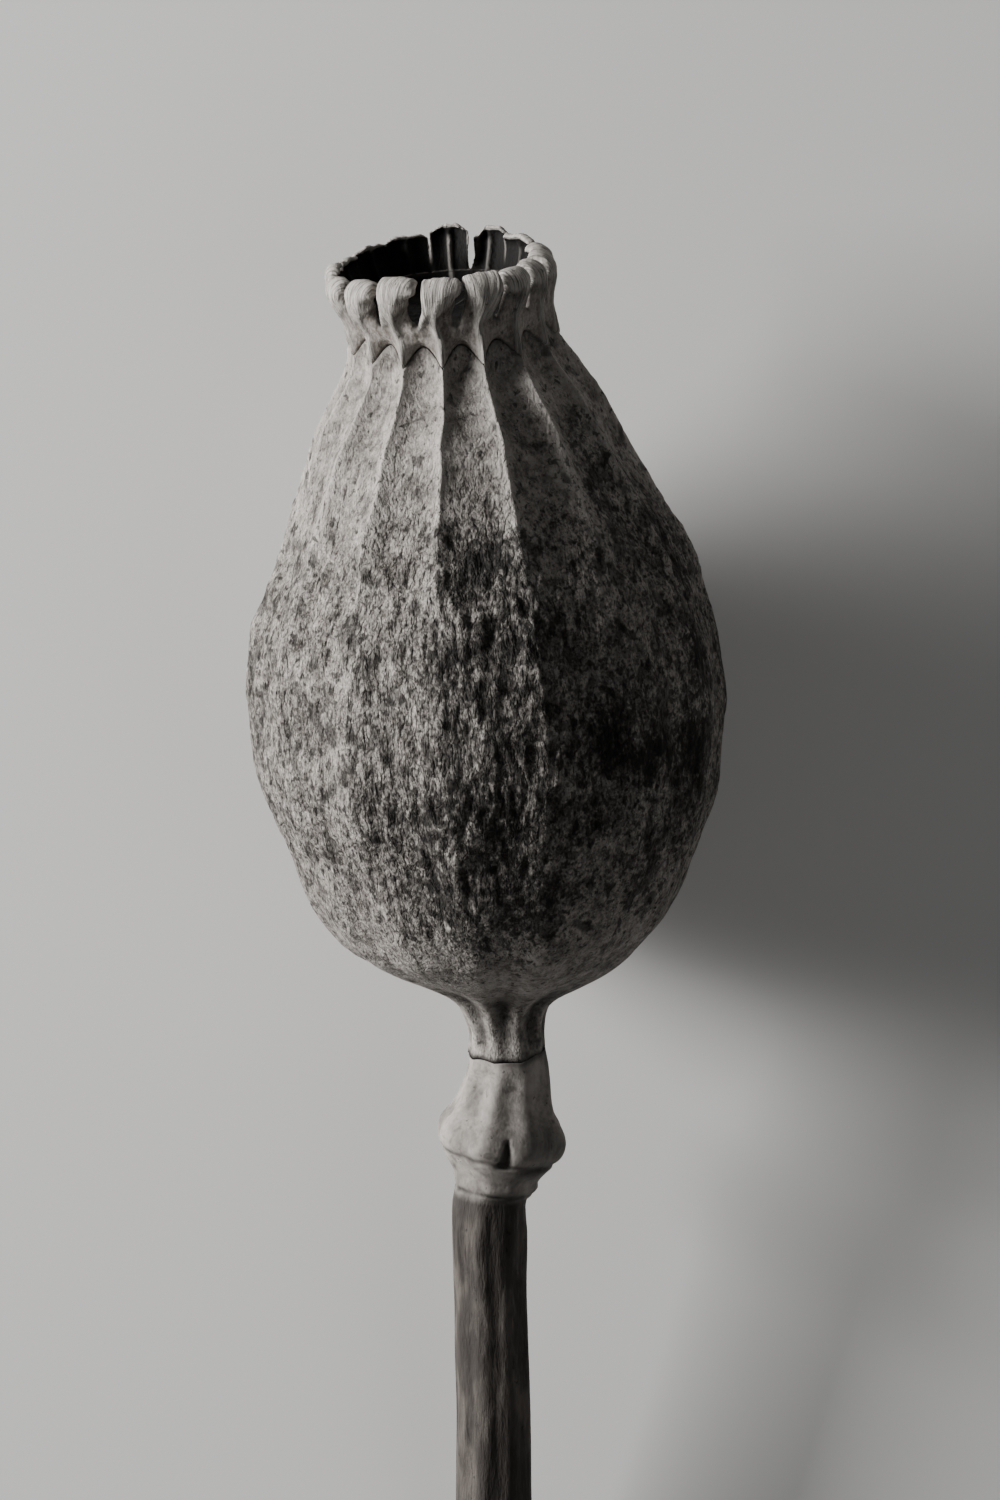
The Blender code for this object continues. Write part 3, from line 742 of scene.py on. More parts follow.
# %% [markdown]
# ## Fibres and marks on the crown
# After the remesh each point has to find its own lobe again: the nearest rib gives the lobe, and
# the distance across and up gives the place on it. With that, the point knows whether it is on a
# web, a keel or a fan, inside or outside, and how the fibres run there.

# %% Fibres and marks on the crown
FIBRE = (0.26, 0.045)
# Painted shade under the margins of the fans, as a share of full darkness.
UNDER_FAN_SHADE = 0.4
# How much of its pale ray and of its pale edges each open lobe shows inside: pale fibre, and also a
# painted highlight where these rims catch the light.
RAY_SHOWS = {8: 0.6, 7: 0.3, 6: 0.2}
EDGE_SHOWS = {8: 1.0, 7: 0.4, 12: 0.6}


def nearest_steps(number, radius, lift, slope_out, slope_up):
    """For points on one lobe: the nearest step along it, and how far their skin faces outward."""
    steps = np.linspace(0.0, 7.0, 71)
    line_radius, line_lift, _ = lobe_line(number, steps)
    apart = (radius[:, None] - line_radius) ** 2 + (lift[:, None] - line_lift) ** 2
    nearest = apart.argmin(axis=1)
    facing = lobe_facing(number, steps)[:, nearest]
    return steps[nearest], slope_out * facing[0] + slope_up * facing[1]


crown.data.update()
normals = np.empty(len(crown_points) * 3)
crown.data.vertex_normals.foreach_get("vector", normals)
normals = normals.reshape(-1, 3)
lift = crown_points[:, 2] - LOBE_SEAM
centred = crown_points[:, 0] - CROWN_SHIFT * np.clip(lift / LOBE_ROOT, 0.0, 2.0) / 2
radius = np.hypot(centred, crown_points[:, 1])
round_crown = np.arctan2(centred, -crown_points[:, 1])
turn = (round_crown - top_drift(round_crown, lift) / radius - RIB_PHASE) / RIB_PITCH
lobe = np.round(turn).astype(int)
across = (turn - lobe) * 2
lobe %= RIBS
slope_out = (normals[:, 0] * centred + normals[:, 1] * crown_points[:, 1]) / radius
outside, plain, fan, aside, cleft_shade, rim = (np.zeros(len(lift)) for _ in range(6))
for number in range(RIBS):
    here = lobe == number
    step, outward = nearest_steps(number, radius[here], lift[here], slope_out[here], normals[here, 2])
    outside[here] = step_up(-0.8, -0.2, outward)
    plain[here] = lobe_line(number, step)[2]
    aside[here] = lobe_value(number, step, 5) * LOBES[number][2]
    over_margin = plain[here] - fan_margin(number, across[here])
    fan[here] = step_up(-0.7, 0.5, over_margin)
    # Painted shade under a fan's margin, and in the gaps between lobes.
    under_fan_shade = UNDER_FAN_SHADE * step_up(-1.9, -0.1, over_margin) * (1 - fan[here])
    gap_right = min(LOBES[number][8] / 0.3, 1.0) * step_up(0.6, 0.85, across[here])
    gap_left = min(LOBES[number - 1][8] / 0.3, 1.0) * step_up(-0.8, -0.95, across[here])
    in_gap = np.maximum(gap_right, gap_left) * step_up(5.0, 4.2, plain[here])
    cleft_shade[here] = np.maximum(under_fan_shade, in_gap) * step_up(1.2, 2.6, plain[here])
    # rim: pale fibre on the tips, edges and rays of open lobes, also a painted highlight where they catch
    # the light.
    open_share = 1 - LOBES[number][7]
    far = np.abs(across[here])
    edge = EDGE_SHOWS.get(number, 0.0) * step_up(0.82, 0.93, far) * step_up(2.5, 4.0, plain[here])
    ray = RAY_SHOWS.get(number, 0.0) * step_up(0.16, 0.05, far) * step_up(5.2, 4.4, plain[here])
    rim[here] = open_share * np.maximum.reduce([step_up(6.6, 6.9, step), edge, ray * (1 - outside[here])])
keel = np.exp(-(((across - aside) * radius * RIB_PITCH / 2 / along(KEEL_HALF_WIDTH, plain)) ** 2))
spread = np.clip(0.45 + 0.25 * np.maximum(plain - 2.0, 0.0), 0.45, 1.4)
fibre_place = np.stack([(across - aside) * 1.6 / spread, lobe * 3.7 + 0.4 * outside, plain / 3.0], axis=-1)
fibres = noise_at(fibre_place, FIBRE[0] / 2, 2.5, 1.0)
on_fibre = outside * np.maximum(fan, 0.6 * keel) * step_up(0.4, 1.5, lift)
crown_points = crown_points + normals * (FIBRE[1] * fibres * on_fibre)[:, None]
crown.data.vertices.foreach_set("co", (on_table(tilted(crown_points)) * MM).ravel())
crown.data.update()
crown.data.shade_smooth()
store(crown, "head_place", crown_points)
store(crown, "fibre_place", fibre_place)
store(crown, "fibre", on_fibre)
store(crown, "keel", keel * outside)
# inside: the inner faces and the cup's floor, whose dark colour is deepened to near black by painted shade.
in_cup = step_up(7.95, 7.5, radius) * step_up(3.4, 2.6, lift)
on_floor = step_up(0.3, 0.6, lift) * in_cup
store(crown, "inside", np.maximum((1 - outside) * step_up(0.3, 1.2, lift), on_floor))
store(crown, "cleft_shade", cleft_shade * outside)
store(crown, "rim", rim)
round_crown = np.arctan2(crown_points[:, 0], -crown_points[:, 1])
# Painted shade: a dark line along the seam, in the hollows between ribs.
seam_shade = step_up(0.3, 0.0, crown_points[:, 2] - seam_height(round_crown))
store(crown, "seam", seam_shade * step_up(0.05, 0.35, hollow(round_crown)))
print("fibres cover", round(float(on_fibre.mean()) * 100), "% of the crown")

# %% [markdown]
# ## Receptacle and stem
# Under the pod's foot the stem swells into a receptacle. The petals left a flared ring there with
# a notched lower edge, and the sepals a second, smaller ring under it. Below them the stem is
# nearly even, lightly furrowed, and cut straight off, with its pith shrunk back.

# %% Grow the receptacle and the stem
STEM_OUTLINE = (
    (0.0, 3.15, 3.15),
    (1.4, 3.25, 3.25),
    (2.8, 3.4, 3.55),
    (4.0, 3.7, 3.9),
    (5.0, 4.2, 4.3),
    (5.9, 4.8, 4.9),
    (6.6, 5.0, 5.25),
    (7.2, 5.05, 5.35),
    (7.8, 4.95, 5.2),
    (8.6, 4.6, 4.65),
    (9.3, 4.05, 4.1),
    (10.1, 3.45, 3.65),
    (10.8, 3.2, 3.65),
    (11.4, 3.1, 3.3),
    (11.9, 3.05, 2.85),
    (13.0, 3.15, 2.9),
    (15.0, 3.05, 3.05),
    (19.0, 2.9, 2.95),
    (25.0, 2.95, 2.95),
    (32.0, 3.0, 3.0),
    (40.0, 3.05, 3.05),
    (48.0, 3.0, 3.0),
    (57.0, 2.95, 2.95),
    (66.0, 2.95, 2.95),
)
STEM_ROUTE = (
    (0.0, 0.0, 0.0),
    (0.12, -1.5, -0.21),
    (-0.2, -3.9, -0.55),
    (-0.6, -7.5, -1.06),
    (-1.15, -11.0, -1.55),
    (-1.4, -15.0, -2.15),
    (-1.3, -22.0, -3.2),
    (-1.1, -30.0, -4.4),
    (-1.05, -38.0, -5.7),
    (-0.9, -47.0, -7.18),
    (-0.6, -56.0, -8.83),
    (-0.1, -65.0, -10.6),
    (0.5, -74.0, -12.5),
)
STEM_COLUMNS = 160
STEM_RIDGES = 8
STEM_RIDGE_PHASE = RIB_PHASE - 2 * math.pi / 32
STEM_RIDGE_DEPTH = ((0.0, 0.05), (2.0, 0.12), (7.0, 0.15), (9.0, 0.05), (12.0, 0.05), (16.0, 0.1))
# The scars of petals and sepals: distance below the joint, depth and half width.
RING_EDGES = ((8.45, 0.28, 0.26), (11.35, 0.2, 0.2))
RING_WOBBLE = 0.16
# The notch in the petal ring: azimuth, distances of its tip and its foot, half width and depth.
NOTCH = (math.radians(6.0), 5.9, 8.3, math.radians(9.5), 0.45)
# Painted shade under the rings on the right side, away from the light: azimuth and distance of its
# middle, half sizes, amount.
RING_SHADE = (
    (math.radians(48.0), 8.7, math.radians(36.0), 0.9, 1.0),
    (math.radians(28.0), 11.4, math.radians(34.0), 0.45, 0.9),
    (math.radians(45.0), 6.8, math.radians(30.0), 1.6, 0.6),
)
STEM_PITH = (0.45, 0.6)


def route_points(distance):
    """Points of the stem's middle line below the joint, in world directions."""
    places = [(-row[1],) + row for row in STEM_ROUTE]
    return np.stack([along(places, distance, column) for column in (1, 2, 3)], axis=-1)


def lay_along_route(radius, azimuth, distance):
    """Bend points given by radius, azimuth and distance below the joint onto the stem's route."""
    ahead = route_points(distance + 0.3) - route_points(distance - 0.3)
    ahead /= np.linalg.norm(ahead, axis=-1, keepdims=True)
    side = np.array((1.0, 0.0, 0.0)) - ahead * ahead[..., :1]
    side /= np.linalg.norm(side, axis=-1, keepdims=True)
    upper = np.cross(side, ahead)
    upper *= np.sign(upper[..., 2:])
    across = np.sin(azimuth)[..., None] * side + np.cos(azimuth)[..., None] * upper
    return np.array(JOINT_PLACE) + route_points(distance) + radius[..., None] * across


def stem_outline_at(distance, azimuth):
    """Half width of the receptacle or the stem, between its left and right ones."""
    left = along(STEM_OUTLINE, distance, 1)
    right = along(STEM_OUTLINE, distance, 2)
    return (left + right) / 2 + (right - left) / 2 * np.sin(azimuth)


def notch_at(distance, azimuth):
    """The notch in the petal ring, 1 where it is deepest: a slot that widens from its tip down."""
    place, top, foot, half, _ = NOTCH
    share = np.clip((distance - top) / (foot - top), 0.0, 1.0)
    apart = np.abs(np.arctan2(np.sin(azimuth - place), np.cos(azimuth - place)))
    slot = step_up(1.0, 0.3, apart / (half * share + 0.01))
    return slot * step_up(0.0, 0.4, share) * step_up(foot + 0.6, foot, distance)


tip = STEM_OUTLINE[-1][0]
upper_rows = np.linspace(POD_EDGE, 13.0, 190)
distances = np.concatenate([upper_rows, np.linspace(13.0, tip, 115)[1:]])[::-1]
azimuth, distance = np.meshgrid(np.arange(STEM_COLUMNS) * 2 * math.pi / STEM_COLUMNS, distances)
stem_radius = stem_outline_at(distance, azimuth)
stem_place = round_the_axis(stem_radius, azimuth, -distance)
ridges = np.cos(STEM_RIDGES * (azimuth - STEM_RIDGE_PHASE))
stem_radius += along(STEM_RIDGE_DEPTH, distance) * ridges
on_receptacle = step_up(13.0, 11.5, distance)
wobble = RING_WOBBLE * noise_at(stem_place * (1, 1, 0), 1.6, 1.0, 4.0)
# Painted shade in the grooves under the rings, in the notch and under the rings on the right.
groove_shade = np.zeros_like(distance)
for place, depth, width in RING_EDGES:
    below = (distance - place - wobble) / width
    cut = np.exp(-(below**2)) * (0.75 + 0.5 * noise_at(stem_place * (1, 1, 0), 2.1, 1.0, 6.0))
    stem_radius -= depth * cut
    groove_shade = np.maximum(groove_shade, cut)
for place, middle, half, reach, amount in RING_SHADE:
    apart = np.arctan2(np.sin(azimuth - place), np.cos(azimuth - place)) / half
    groove_shade = np.maximum(groove_shade, amount * np.exp(-(apart**2) - ((distance - middle) / reach) ** 2))
notch = notch_at(distance, azimuth)
stem_radius -= NOTCH[4] * notch
stem_radius += 0.10 * noise_at(stem_place, 2.0, 1.3, 8.0) * on_receptacle
stem_radius += 0.025 * noise_at(stem_place, 0.7, 1.6, 12.0) * on_receptacle
stem_radius += 0.05 * noise_at(stem_place, 0.55, 7.0, 9.0) * (1 - on_receptacle)
stem_radius += 0.06 * noise_at(stem_place, 1.6, 4.0, 10.0) * (1 - on_receptacle)
bent = distance + joint_dip(azimuth) * step_up(3.0, 0.0, distance)
stem_rings = lay_along_route(stem_radius, azimuth, bent)
tip_rings = []
for share, back in ((STEM_PITH[0] + 0.12, 0.0), (STEM_PITH[0], 0.12), (STEM_PITH[0] * 0.6, 0.5)):
    tip_rings.append(lay_along_route(stem_radius[0] * share, azimuth[0], distance[0] - back))
top_rings = []
for share in (0.97, 0.8):
    top_rings.append(lay_along_route(stem_radius[-1] * share, azimuth[-1], bent[-1]))
stem_rings = np.concatenate([np.array(tip_rings)[::-1], stem_rings, np.array(top_rings)])
stem_ends = route_points(np.array([tip - STEM_PITH[1], POD_EDGE])) + np.array(JOINT_PLACE)
stem = ringed_skin("stem_skin", stem_rings, stem_ends)
print("stem:", len(stem.data.vertices), "points")

# %% Marks on the stem
def stem_marks(values, tip_value, top_value):
    """Values for every point of the stem: tip rings, wall rings, top rings and the two ends."""
    tip_part = np.full(len(tip_rings) * STEM_COLUMNS, tip_value)
    top_part = np.full(len(top_rings) * STEM_COLUMNS, top_value)
    return np.concatenate([tip_part, values.ravel(), top_part, [tip_value, top_value]])


stem_columns = []
for column in range(3):
    outer = stem_place[..., column]
    tip_part = np.tile(outer[0] * 0.5, len(tip_rings))
    top_part = np.tile(outer[-1] * 0.9, len(top_rings))
    stem_columns.append(np.concatenate([tip_part, outer.ravel(), top_part, [outer[0, 0], outer[-1, 0]]]))
store(stem, "head_place", np.stack(stem_columns, axis=-1))
store(stem, "receptacle", stem_marks(step_up(12.2, 11.2, distance), 0.0, 1.0))
store(stem, "groove_shade", stem_marks(np.clip(groove_shade + notch, 0, 1), 0.0, 1.0))
store(stem, "pith", stem_marks(0 * distance, 1.0, 0.0))
# Painted shade on the right side of the receptacle's top, under the pod's foot.
joint_shade = step_up(0.7, 0.15, distance) * step_up(-0.6, 0.6, np.sin(azimuth))
store(stem, "joint", stem_marks(joint_shade, 0.0, 1.0))
print("the receptacle covers", round(float(on_receptacle.mean()) * 100), "% of the rings")

# %% [markdown]
# ## Effects that the materials share
# Pod, crown and stem are the same dry plant tissue, so their materials share effects: an uneven
# tone, dark specks of mould, fine wrinkles, and fibres. Each is a node group with its own
# inputs, built once. All of them read the place in head coordinates, in millimetres, so their
# grain has its real size.

# %% Helpers for nodes
def new_group(name, inputs, outputs):
    """An empty node group with named inputs (name, kind, value) and outputs (name, kind)."""
    group = bpy.data.node_groups.new(name, "ShaderNodeTree")
    for socket, kind, value in inputs:
        item = group.interface.new_socket(socket, in_out="INPUT", socket_type=kind)
        if value is not None:
            item.default_value = value
    for socket, kind in outputs:
        group.interface.new_socket(socket, in_out="OUTPUT", socket_type=kind)
    return group, group.nodes.new("NodeGroupInput"), group.nodes.new("NodeGroupOutput")


def fill(tree, socket, value):
    """Link a socket to another one, or set it to a number, a vector or a colour."""
    if isinstance(value, bpy.types.NodeSocket):
        tree.links.new(value, socket)
    else:
        socket.default_value = value


def calc(tree, operation, first, second=0.0, third=0.0):
    node = tree.nodes.new("ShaderNodeMath")
    node.operation = operation
    for socket, value in zip(node.inputs, (first, second, third)):
        fill(tree, socket, value)
    return node.outputs[0]


def ramp_between(tree, value, start, end, low=0.0, high=1.0):
    """A smooth rise of a value from low at start to high at end."""
    node = tree.nodes.new("ShaderNodeMapRange")
    node.interpolation_type = "SMOOTHSTEP"
    for socket, amount in zip(node.inputs, (value, start, end, low, high)):
        fill(tree, socket, amount)
    return node.outputs[0]


def stretched(tree, place, size, length):
    """A place divided by a grain size in mm, drawn out along the head's axis."""
    wide = calc(tree, "DIVIDE", 1.0, size)
    tall = calc(tree, "DIVIDE", wide, length)
    scale = tree.nodes.new("ShaderNodeCombineXYZ")
    for socket, value in zip(scale.inputs, (wide, wide, tall)):
        fill(tree, socket, value)
    node = tree.nodes.new("ShaderNodeVectorMath")
    node.operation = "MULTIPLY"
    fill(tree, node.inputs[0], place)
    fill(tree, node.inputs[1], scale.outputs[0])
    return node.outputs[0]


def cloud(tree, place, detail=2.0, roughness=0.5, distortion=0.0):
    """Noise from 0 to 1 at a place."""
    node = tree.nodes.new("ShaderNodeTexNoise")
    fill(tree, node.inputs["Vector"], place)
    node.inputs["Scale"].default_value = 1.0
    node.inputs["Detail"].default_value = detail
    node.inputs["Roughness"].default_value = roughness
    node.inputs["Distortion"].default_value = distortion
    return node.outputs["Fac"]


def blend_colours(tree, amount, first, second, mode="MIX"):
    node = tree.nodes.new("ShaderNodeMix")
    node.data_type = "RGBA"
    node.blend_type = mode
    fill(tree, node.inputs["Factor"], amount)
    for socket, value in zip((node.inputs[6], node.inputs[7]), (first, second)):
        fill(tree, socket, value if isinstance(value, bpy.types.NodeSocket) else (*value, 1.0))
    return node.outputs[2]


def kept(tree, name, vector=False):
    """A value or a vector that every point of the mesh keeps."""
    node = tree.nodes.new("ShaderNodeAttribute")
    node.attribute_name = name
    return node.outputs["Vector" if vector else "Fac"]


def use(tree, group, **values):
    """Place a node group and fill its inputs by name, with underscores for spaces."""
    node = tree.nodes.new("ShaderNodeGroup")
    node.node_tree = group
    for name, value in values.items():
        fill(tree, node.inputs[name.replace("_", " ")], value)
    return node.outputs


# %% Uneven tone
PLACE = ("Place", "NodeSocketVector", None)
AMOUNT = ("Amount", "NodeSocketFloat", 1.0)
SIZE = ("Size", "NodeSocketFloat", 1.0)
LENGTH = ("Length", "NodeSocketFloat", 1.0)

GRAIN = (PLACE, SIZE, LENGTH)
TONE = ("Tone", "NodeSocketFloat")
HEIGHT = ("Height", "NodeSocketFloat")

uneven_tone, entry, leave = new_group("Uneven tone", GRAIN, (TONE,))
place = stretched(uneven_tone, *entry.outputs[:3])
tone = ramp_between(uneven_tone, cloud(uneven_tone, place, 4.0, 0.62, 0.4), 0.35, 0.65)
fill(uneven_tone, leave.inputs["Tone"], tone)
print("group:", uneven_tone.name)

# %% Dark specks
dark_specks, entry, leave = new_group("Dark specks", (*GRAIN, AMOUNT), (("Mask", "NodeSocketFloat"),))
place = stretched(dark_specks, *entry.outputs[:3])
spots = cloud(dark_specks, place, 2.5, 0.55, 0.25)
threshold = ramp_between(dark_specks, entry.outputs["Amount"], 0.0, 1.0, 0.74, 0.46)
above = calc(dark_specks, "SUBTRACT", spots, threshold)
fill(dark_specks, leave.inputs["Mask"], ramp_between(dark_specks, above, -0.03, 0.07))
print("group:", dark_specks.name)

# %% Wrinkled skin
wrinkled_skin, entry, leave = new_group("Wrinkled skin", GRAIN, (HEIGHT,))
place = stretched(wrinkled_skin, *entry.outputs[:3])
broad = cloud(wrinkled_skin, place, 3.0, 0.62, 0.7)
centred = calc(wrinkled_skin, "SUBTRACT", cloud(wrinkled_skin, place, 1.0), 0.5)
fold = calc(wrinkled_skin, "ABSOLUTE", centred)
rise = calc(wrinkled_skin, "MULTIPLY_ADD", ramp_between(wrinkled_skin, fold, 0.0, 0.12), 0.18, broad)
fill(wrinkled_skin, leave.inputs["Height"], rise)
print("group:", wrinkled_skin.name)

# %% Plant fibre
plant_fibre, entry, leave = new_group("Plant fibre", GRAIN, (HEIGHT, TONE))
place = stretched(plant_fibre, *entry.outputs[:3])
strands = cloud(plant_fibre, place, 3.0, 0.6, 0.2)
fill(plant_fibre, leave.inputs["Height"], strands)
fill(plant_fibre, leave.inputs["Tone"], ramp_between(plant_fibre, strands, 0.35, 0.68))
print("group:", plant_fibre.name)

# %% [markdown]
# ## Material of the pod
# Close to, the skin is a pale warm grey, mottled with brown, paler on the rib crests as painted
# highlight, freckled with small upright specks, stained black in large soft-edged patches, and
# darkened with painted shade in its cracks, the recesses of its foot, at its lower edge and along
# the seam. It has no gloss beyond a faint sheen on the smooth neck. The colour is laid down in
# that order, each layer over the one before it.

# %% Material of the pod
PALE_SKIN = (0.43, 0.395, 0.36)
BROWN_SKIN = (0.06, 0.052, 0.045)
# Soot black: the colour of real stains and specks, and also of painted shade.
SOOT_AND_SHADE = (0.010, 0.0085, 0.0075)
CREST_HIGHLIGHT = (0.46, 0.425, 0.39)


def new_material(name, roughness):
    material = bpy.data.materials.new(name)
    material.use_nodes = True
    shader = material.node_tree.nodes["Principled BSDF"]
    shader.inputs["Roughness"].default_value = roughness
    shader.inputs["Specular IOR Level"].default_value = 0.2
    return material, material.node_tree, shader


def add_bump(tree, height, distance, strength=1.0, under=None):
    """A bump of a real depth in mm, on top of another one."""
    node = tree.nodes.new("ShaderNodeBump")
    node.inputs["Strength"].default_value = strength
    node.inputs["Distance"].default_value = distance * MM
    fill(tree, node.inputs["Height"], height)
    if under is not None:
        fill(tree, node.inputs["Normal"], under)
    return node.outputs["Normal"]


def darken(tree, colour, mask, share, tint):
    """Lay a tint over a colour where a mask says so, for a share of its full strength."""
    return blend_colours(tree, calc(tree, "MULTIPLY", mask, share), colour, tint)


pod_material, tree, shader = new_material("dry_pod_skin", 0.85)
place = kept(tree, "head_place", vector=True)
cork = kept(tree, "cork")
stain = kept(tree, "stain")
tone = use(tree, uneven_tone, Place=place, Size=2.4, Length=1.3)["Tone"]
fine_tone = use(tree, uneven_tone, Place=place, Size=0.7, Length=1.4)["Tone"]
grain_tone = use(tree, uneven_tone, Place=place, Size=0.22, Length=1.3)["Tone"]
brown = calc(tree, "MULTIPLY_ADD", tone, 0.36, calc(tree, "MULTIPLY", fine_tone, 0.4))
brown = calc(tree, "MULTIPLY_ADD", grain_tone, calc(tree, "MULTIPLY_ADD", cork, 0.2, 0.22), brown)
colour = blend_colours(tree, brown, PALE_SKIN, BROWN_SKIN)
# Painted highlight: paler rib crests.
colour = darken(tree, colour, kept(tree, "crest"), 0.7, CREST_HIGHLIGHT)
ragged = use(tree, uneven_tone, Place=place, Size=1.5, Length=1.6)["Tone"]
frayed = use(tree, uneven_tone, Place=place, Size=0.45, Length=1.9)["Tone"]
edge = calc(tree, "MULTIPLY_ADD", ragged, 0.5, calc(tree, "MULTIPLY", frayed, 0.45))
stained = ramp_between(tree, calc(tree, "MULTIPLY_ADD", stain, 0.9, edge), 0.75, 1.5)
speck_amount = calc(tree, "MULTIPLY_ADD", stain, 0.35, calc(tree, "MULTIPLY_ADD", cork, 0.2, 0.38))
blots = use(tree, dark_specks, Place=place, Size=1.7, Length=1.3, Amount=speck_amount)["Mask"]
specks = use(tree, dark_specks, Place=place, Size=0.62, Length=1.35, Amount=speck_amount)["Mask"]
pepper = use(tree, dark_specks, Place=place, Size=0.27, Length=1.3, Amount=speck_amount)["Mask"]
colour = darken(tree, colour, pepper, 0.6, SOOT_AND_SHADE)
colour = darken(tree, colour, specks, 0.75, SOOT_AND_SHADE)
colour = darken(tree, colour, blots, 0.6, SOOT_AND_SHADE)
colour = darken(tree, colour, stained, 0.86, SOOT_AND_SHADE)
# Painted shade in the cracks, the recesses of the foot, at the lower edge and along the seam.
colour = darken(tree, colour, kept(tree, "crack"), 0.25, SOOT_AND_SHADE)
colour = darken(tree, colour, kept(tree, "recess_shade"), 0.75, SOOT_AND_SHADE)
# Painted shade at the pod's lower edge.
colour = darken(tree, colour, kept(tree, "joint"), 0.8, SOOT_AND_SHADE)
colour = darken(tree, colour, kept(tree, "seam"), 0.35, SOOT_AND_SHADE)
fill(tree, shader.inputs["Base Color"], colour)
wrinkles = use(tree, wrinkled_skin, Place=place, Size=0.62, Length=2.8)["Height"]
wrinkle_height = calc(tree, "MULTIPLY", wrinkles, calc(tree, "MULTIPLY_ADD", cork, 0.8, 0.2))
bump = add_bump(tree, wrinkle_height, 0.44)
pits = cloud(tree, stretched(tree, place, 0.2, 1.4), 3.0, 0.65)
bump = add_bump(tree, pits, 0.11, under=bump)
fill(tree, shader.inputs["Normal"], bump)
pod.data.materials.append(pod_material)
print("pod material has", len(tree.nodes), "nodes")

# %% [markdown]
# ## Material of the crown
# The fans and keels are bleached fibre, the palest parts of the head. The webs between them are
# brownish, with painted shade under the fans and in the gaps between lobes. The inside of the cup
# is a dark colour deepened to nearly black by painted shade, with paler rays and rims that are
# also a painted highlight.

# %% Material of the crown
FIBRE_PALE = (0.53, 0.495, 0.455)
WEB_SKIN = (0.12, 0.102, 0.088)
INSIDE_SKIN_AND_SHADE = (0.004, 0.0033, 0.0028)

crown_material, tree, shader = new_material("crown_fibre", 0.8)
place = kept(tree, "head_place", vector=True)
fibre_at = kept(tree, "fibre_place", vector=True)
tone = use(tree, uneven_tone, Place=place, Size=1.6, Length=1.8)["Tone"]
strands = use(tree, plant_fibre, Place=fibre_at, Size=0.07, Length=5.0)
grain_tone = use(tree, uneven_tone, Place=place, Size=0.24, Length=1.6)["Tone"]
web = calc(tree, "MULTIPLY_ADD", tone, 0.3, calc(tree, "MULTIPLY", grain_tone, 0.4))
colour = blend_colours(tree, web, WEB_SKIN, PALE_SKIN)
fibrous = ramp_between(tree, calc(tree, "MAXIMUM", kept(tree, "fibre"), kept(tree, "keel")), 0.15, 0.75)
fibre_colour = blend_colours(tree, calc(tree, "MULTIPLY", strands["Tone"], 0.75), FIBRE_PALE, BROWN_SKIN)
colour = blend_colours(tree, fibrous, colour, fibre_colour)
# Painted shade under the fans and in the gaps between lobes.
colour = darken(tree, colour, kept(tree, "cleft_shade"), 0.92, SOOT_AND_SHADE)
# Near-black inside: dark colour and painted shade.
colour = blend_colours(tree, kept(tree, "inside"), colour, INSIDE_SKIN_AND_SHADE)
# Pale rims and rays, also a painted highlight.
colour = darken(tree, colour, kept(tree, "rim"), 0.75, FIBRE_PALE)
specks = use(tree, dark_specks, Place=place, Size=0.45, Length=1.5, Amount=0.35)["Mask"]
colour = darken(tree, colour, specks, 0.6, SOOT_AND_SHADE)
# Painted shade along the seam.
colour = darken(tree, colour, kept(tree, "seam"), 0.55, SOOT_AND_SHADE)
fill(tree, shader.inputs["Base Color"], colour)
strand_height = calc(tree, "MULTIPLY", strands["Height"], fibrous)
bump = add_bump(tree, strand_height, 0.14)
bump = add_bump(tree, cloud(tree, stretched(tree, place, 0.25, 1.5), 3.0, 0.6), 0.09, under=bump)
fill(tree, shader.inputs["Normal"], bump)
crown.data.materials.append(crown_material)
print("crown material has", len(tree.nodes), "nodes")

# %% [markdown]
# ## Material of the receptacle and the stem
# The receptacle is smooth and pale, with a few specks, and painted shade under its rings, in its
# notch and on its right side under the foot. The stem is much darker: brown-grey with long
# streaks, and a matt, slightly furrowed skin.

# %% Material of the receptacle and the stem
STEM_DARK = (0.032, 0.027, 0.024)
STEM_GREY = (0.115, 0.1, 0.088)
RECEPTACLE = (0.36, 0.33, 0.3)

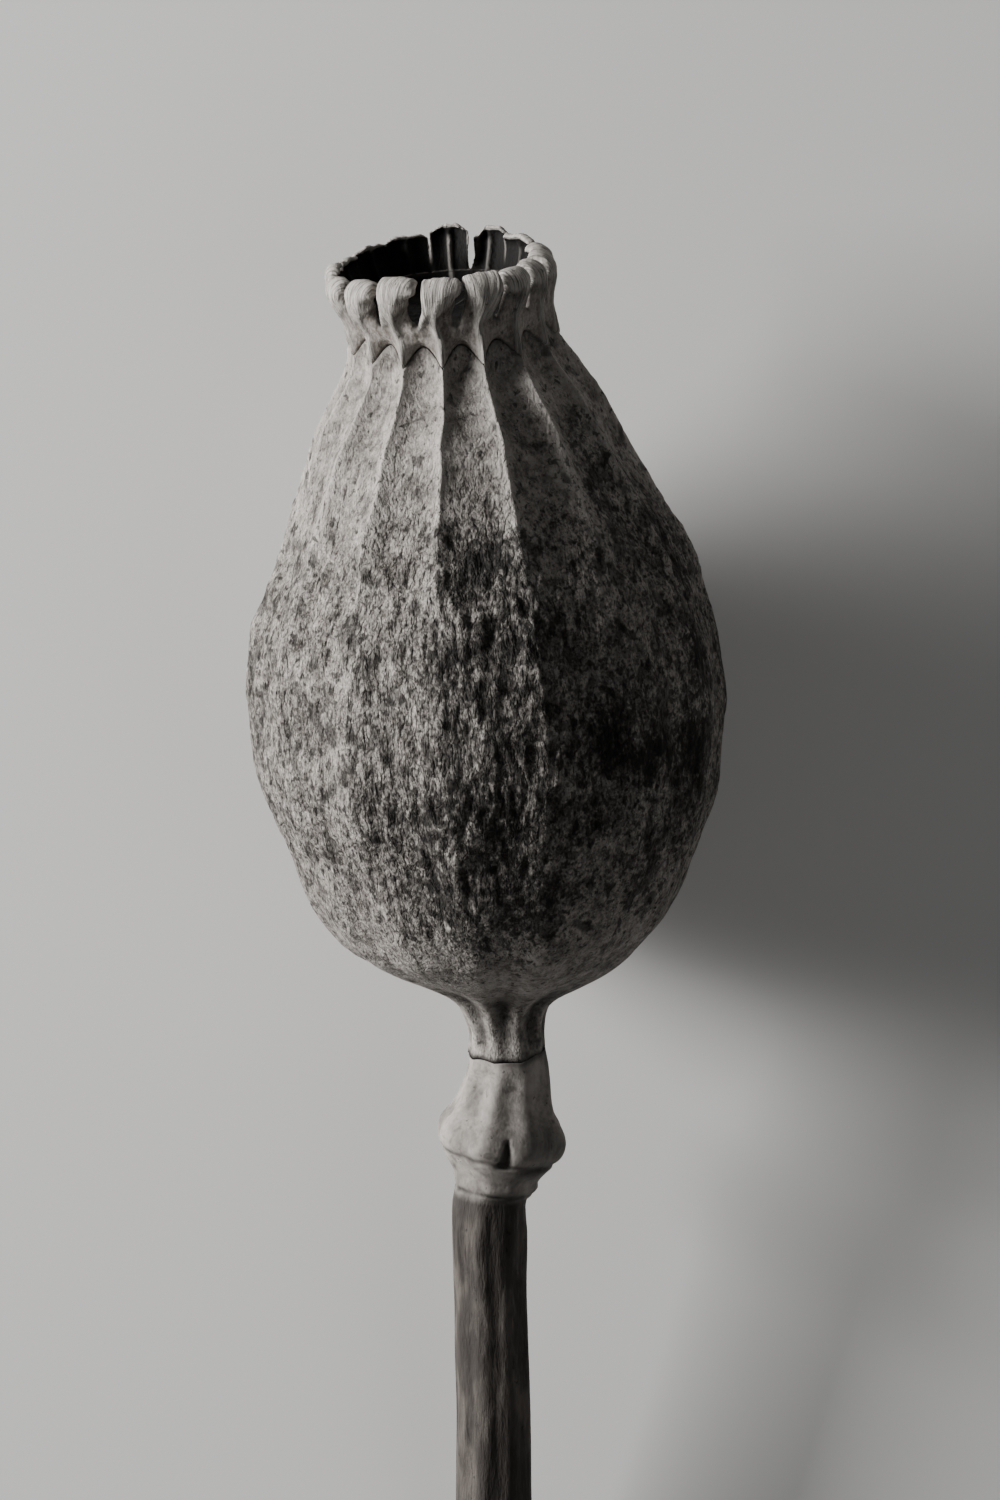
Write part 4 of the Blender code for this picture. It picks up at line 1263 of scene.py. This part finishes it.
stem_material, tree, shader = new_material("stem_skin", 0.75)
place = kept(tree, "head_place", vector=True)
receptacle = kept(tree, "receptacle")
tone = use(tree, uneven_tone, Place=place, Size=1.8, Length=3.5)["Tone"]
streaks = use(tree, plant_fibre, Place=place, Size=0.5, Length=5.0)
streaky = calc(tree, "MULTIPLY_ADD", tone, 0.8, calc(tree, "MULTIPLY", streaks["Tone"], 0.2))
stem_colour = blend_colours(tree, streaky, STEM_DARK, STEM_GREY)
blots = use(tree, dark_specks, Place=place, Size=3.0, Length=2.6, Amount=0.8)["Mask"]
stem_colour = darken(tree, stem_colour, blots, 0.7, STEM_DARK)
broad_tone = use(tree, uneven_tone, Place=place, Size=2.6, Length=1.3)["Tone"]
mottled = use(tree, uneven_tone, Place=place, Size=0.5, Length=1.3)["Tone"]
mottled = calc(tree, "MULTIPLY_ADD", mottled, 0.2, calc(tree, "MULTIPLY", broad_tone, 0.5))
top_colour = blend_colours(tree, mottled, RECEPTACLE, BROWN_SKIN)
smudges = use(tree, dark_specks, Place=place, Size=1.5, Length=1.0, Amount=0.42)["Mask"]
top_colour = darken(tree, top_colour, smudges, 0.45, BROWN_SKIN)
colour = blend_colours(tree, receptacle, stem_colour, top_colour)
specks = use(tree, dark_specks, Place=place, Size=0.5, Length=1.4, Amount=0.3)["Mask"]
colour = darken(tree, colour, specks, 0.7, SOOT_AND_SHADE)
# Painted shade in the ring grooves, the notch and under the rings on the right.
colour = darken(tree, colour, kept(tree, "groove_shade"), 0.85, SOOT_AND_SHADE)
# Painted shade on the right side under the pod's foot.
colour = darken(tree, colour, kept(tree, "joint"), 0.6, SOOT_AND_SHADE)
colour = blend_colours(tree, kept(tree, "pith"), colour, BROWN_SKIN)
fill(tree, shader.inputs["Base Color"], colour)
along_stem = calc(tree, "MULTIPLY", streaks["Height"], calc(tree, "MULTIPLY_ADD", receptacle, -0.97, 1.0))
bump = add_bump(tree, along_stem, 0.16)
bump = add_bump(tree, cloud(tree, stretched(tree, place, 0.2, 1.5), 3.0, 0.6), 0.03, under=bump)
fill(tree, shader.inputs["Normal"], bump)
stem.data.materials.append(stem_material)
print("stem material has", len(tree.nodes), "nodes")

# %% Material of the table
table_material, tree, shader = new_material("pale_table", 0.9)
shader.inputs["Base Color"].default_value = (0.80, 0.79, 0.77, 1.0)
table.data.materials.append(table_material)
print("table material is plain and matt")

# %% [markdown]
# ## Hand the pieces to the frame
# Each piece rides on the one body of the model and stands for its node, whose imported part is
# hidden.

# %% Hand the pieces to the frame
STANDS_FOR = ((pod, "capsule", "capsule_skin"), (crown, "crown", "crown_skin"), (stem, "stem", "stem_skin"))
for piece, node, slot in STANDS_FOR:
    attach(piece, "root")
    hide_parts(node)

bpy.context.view_layer.update()
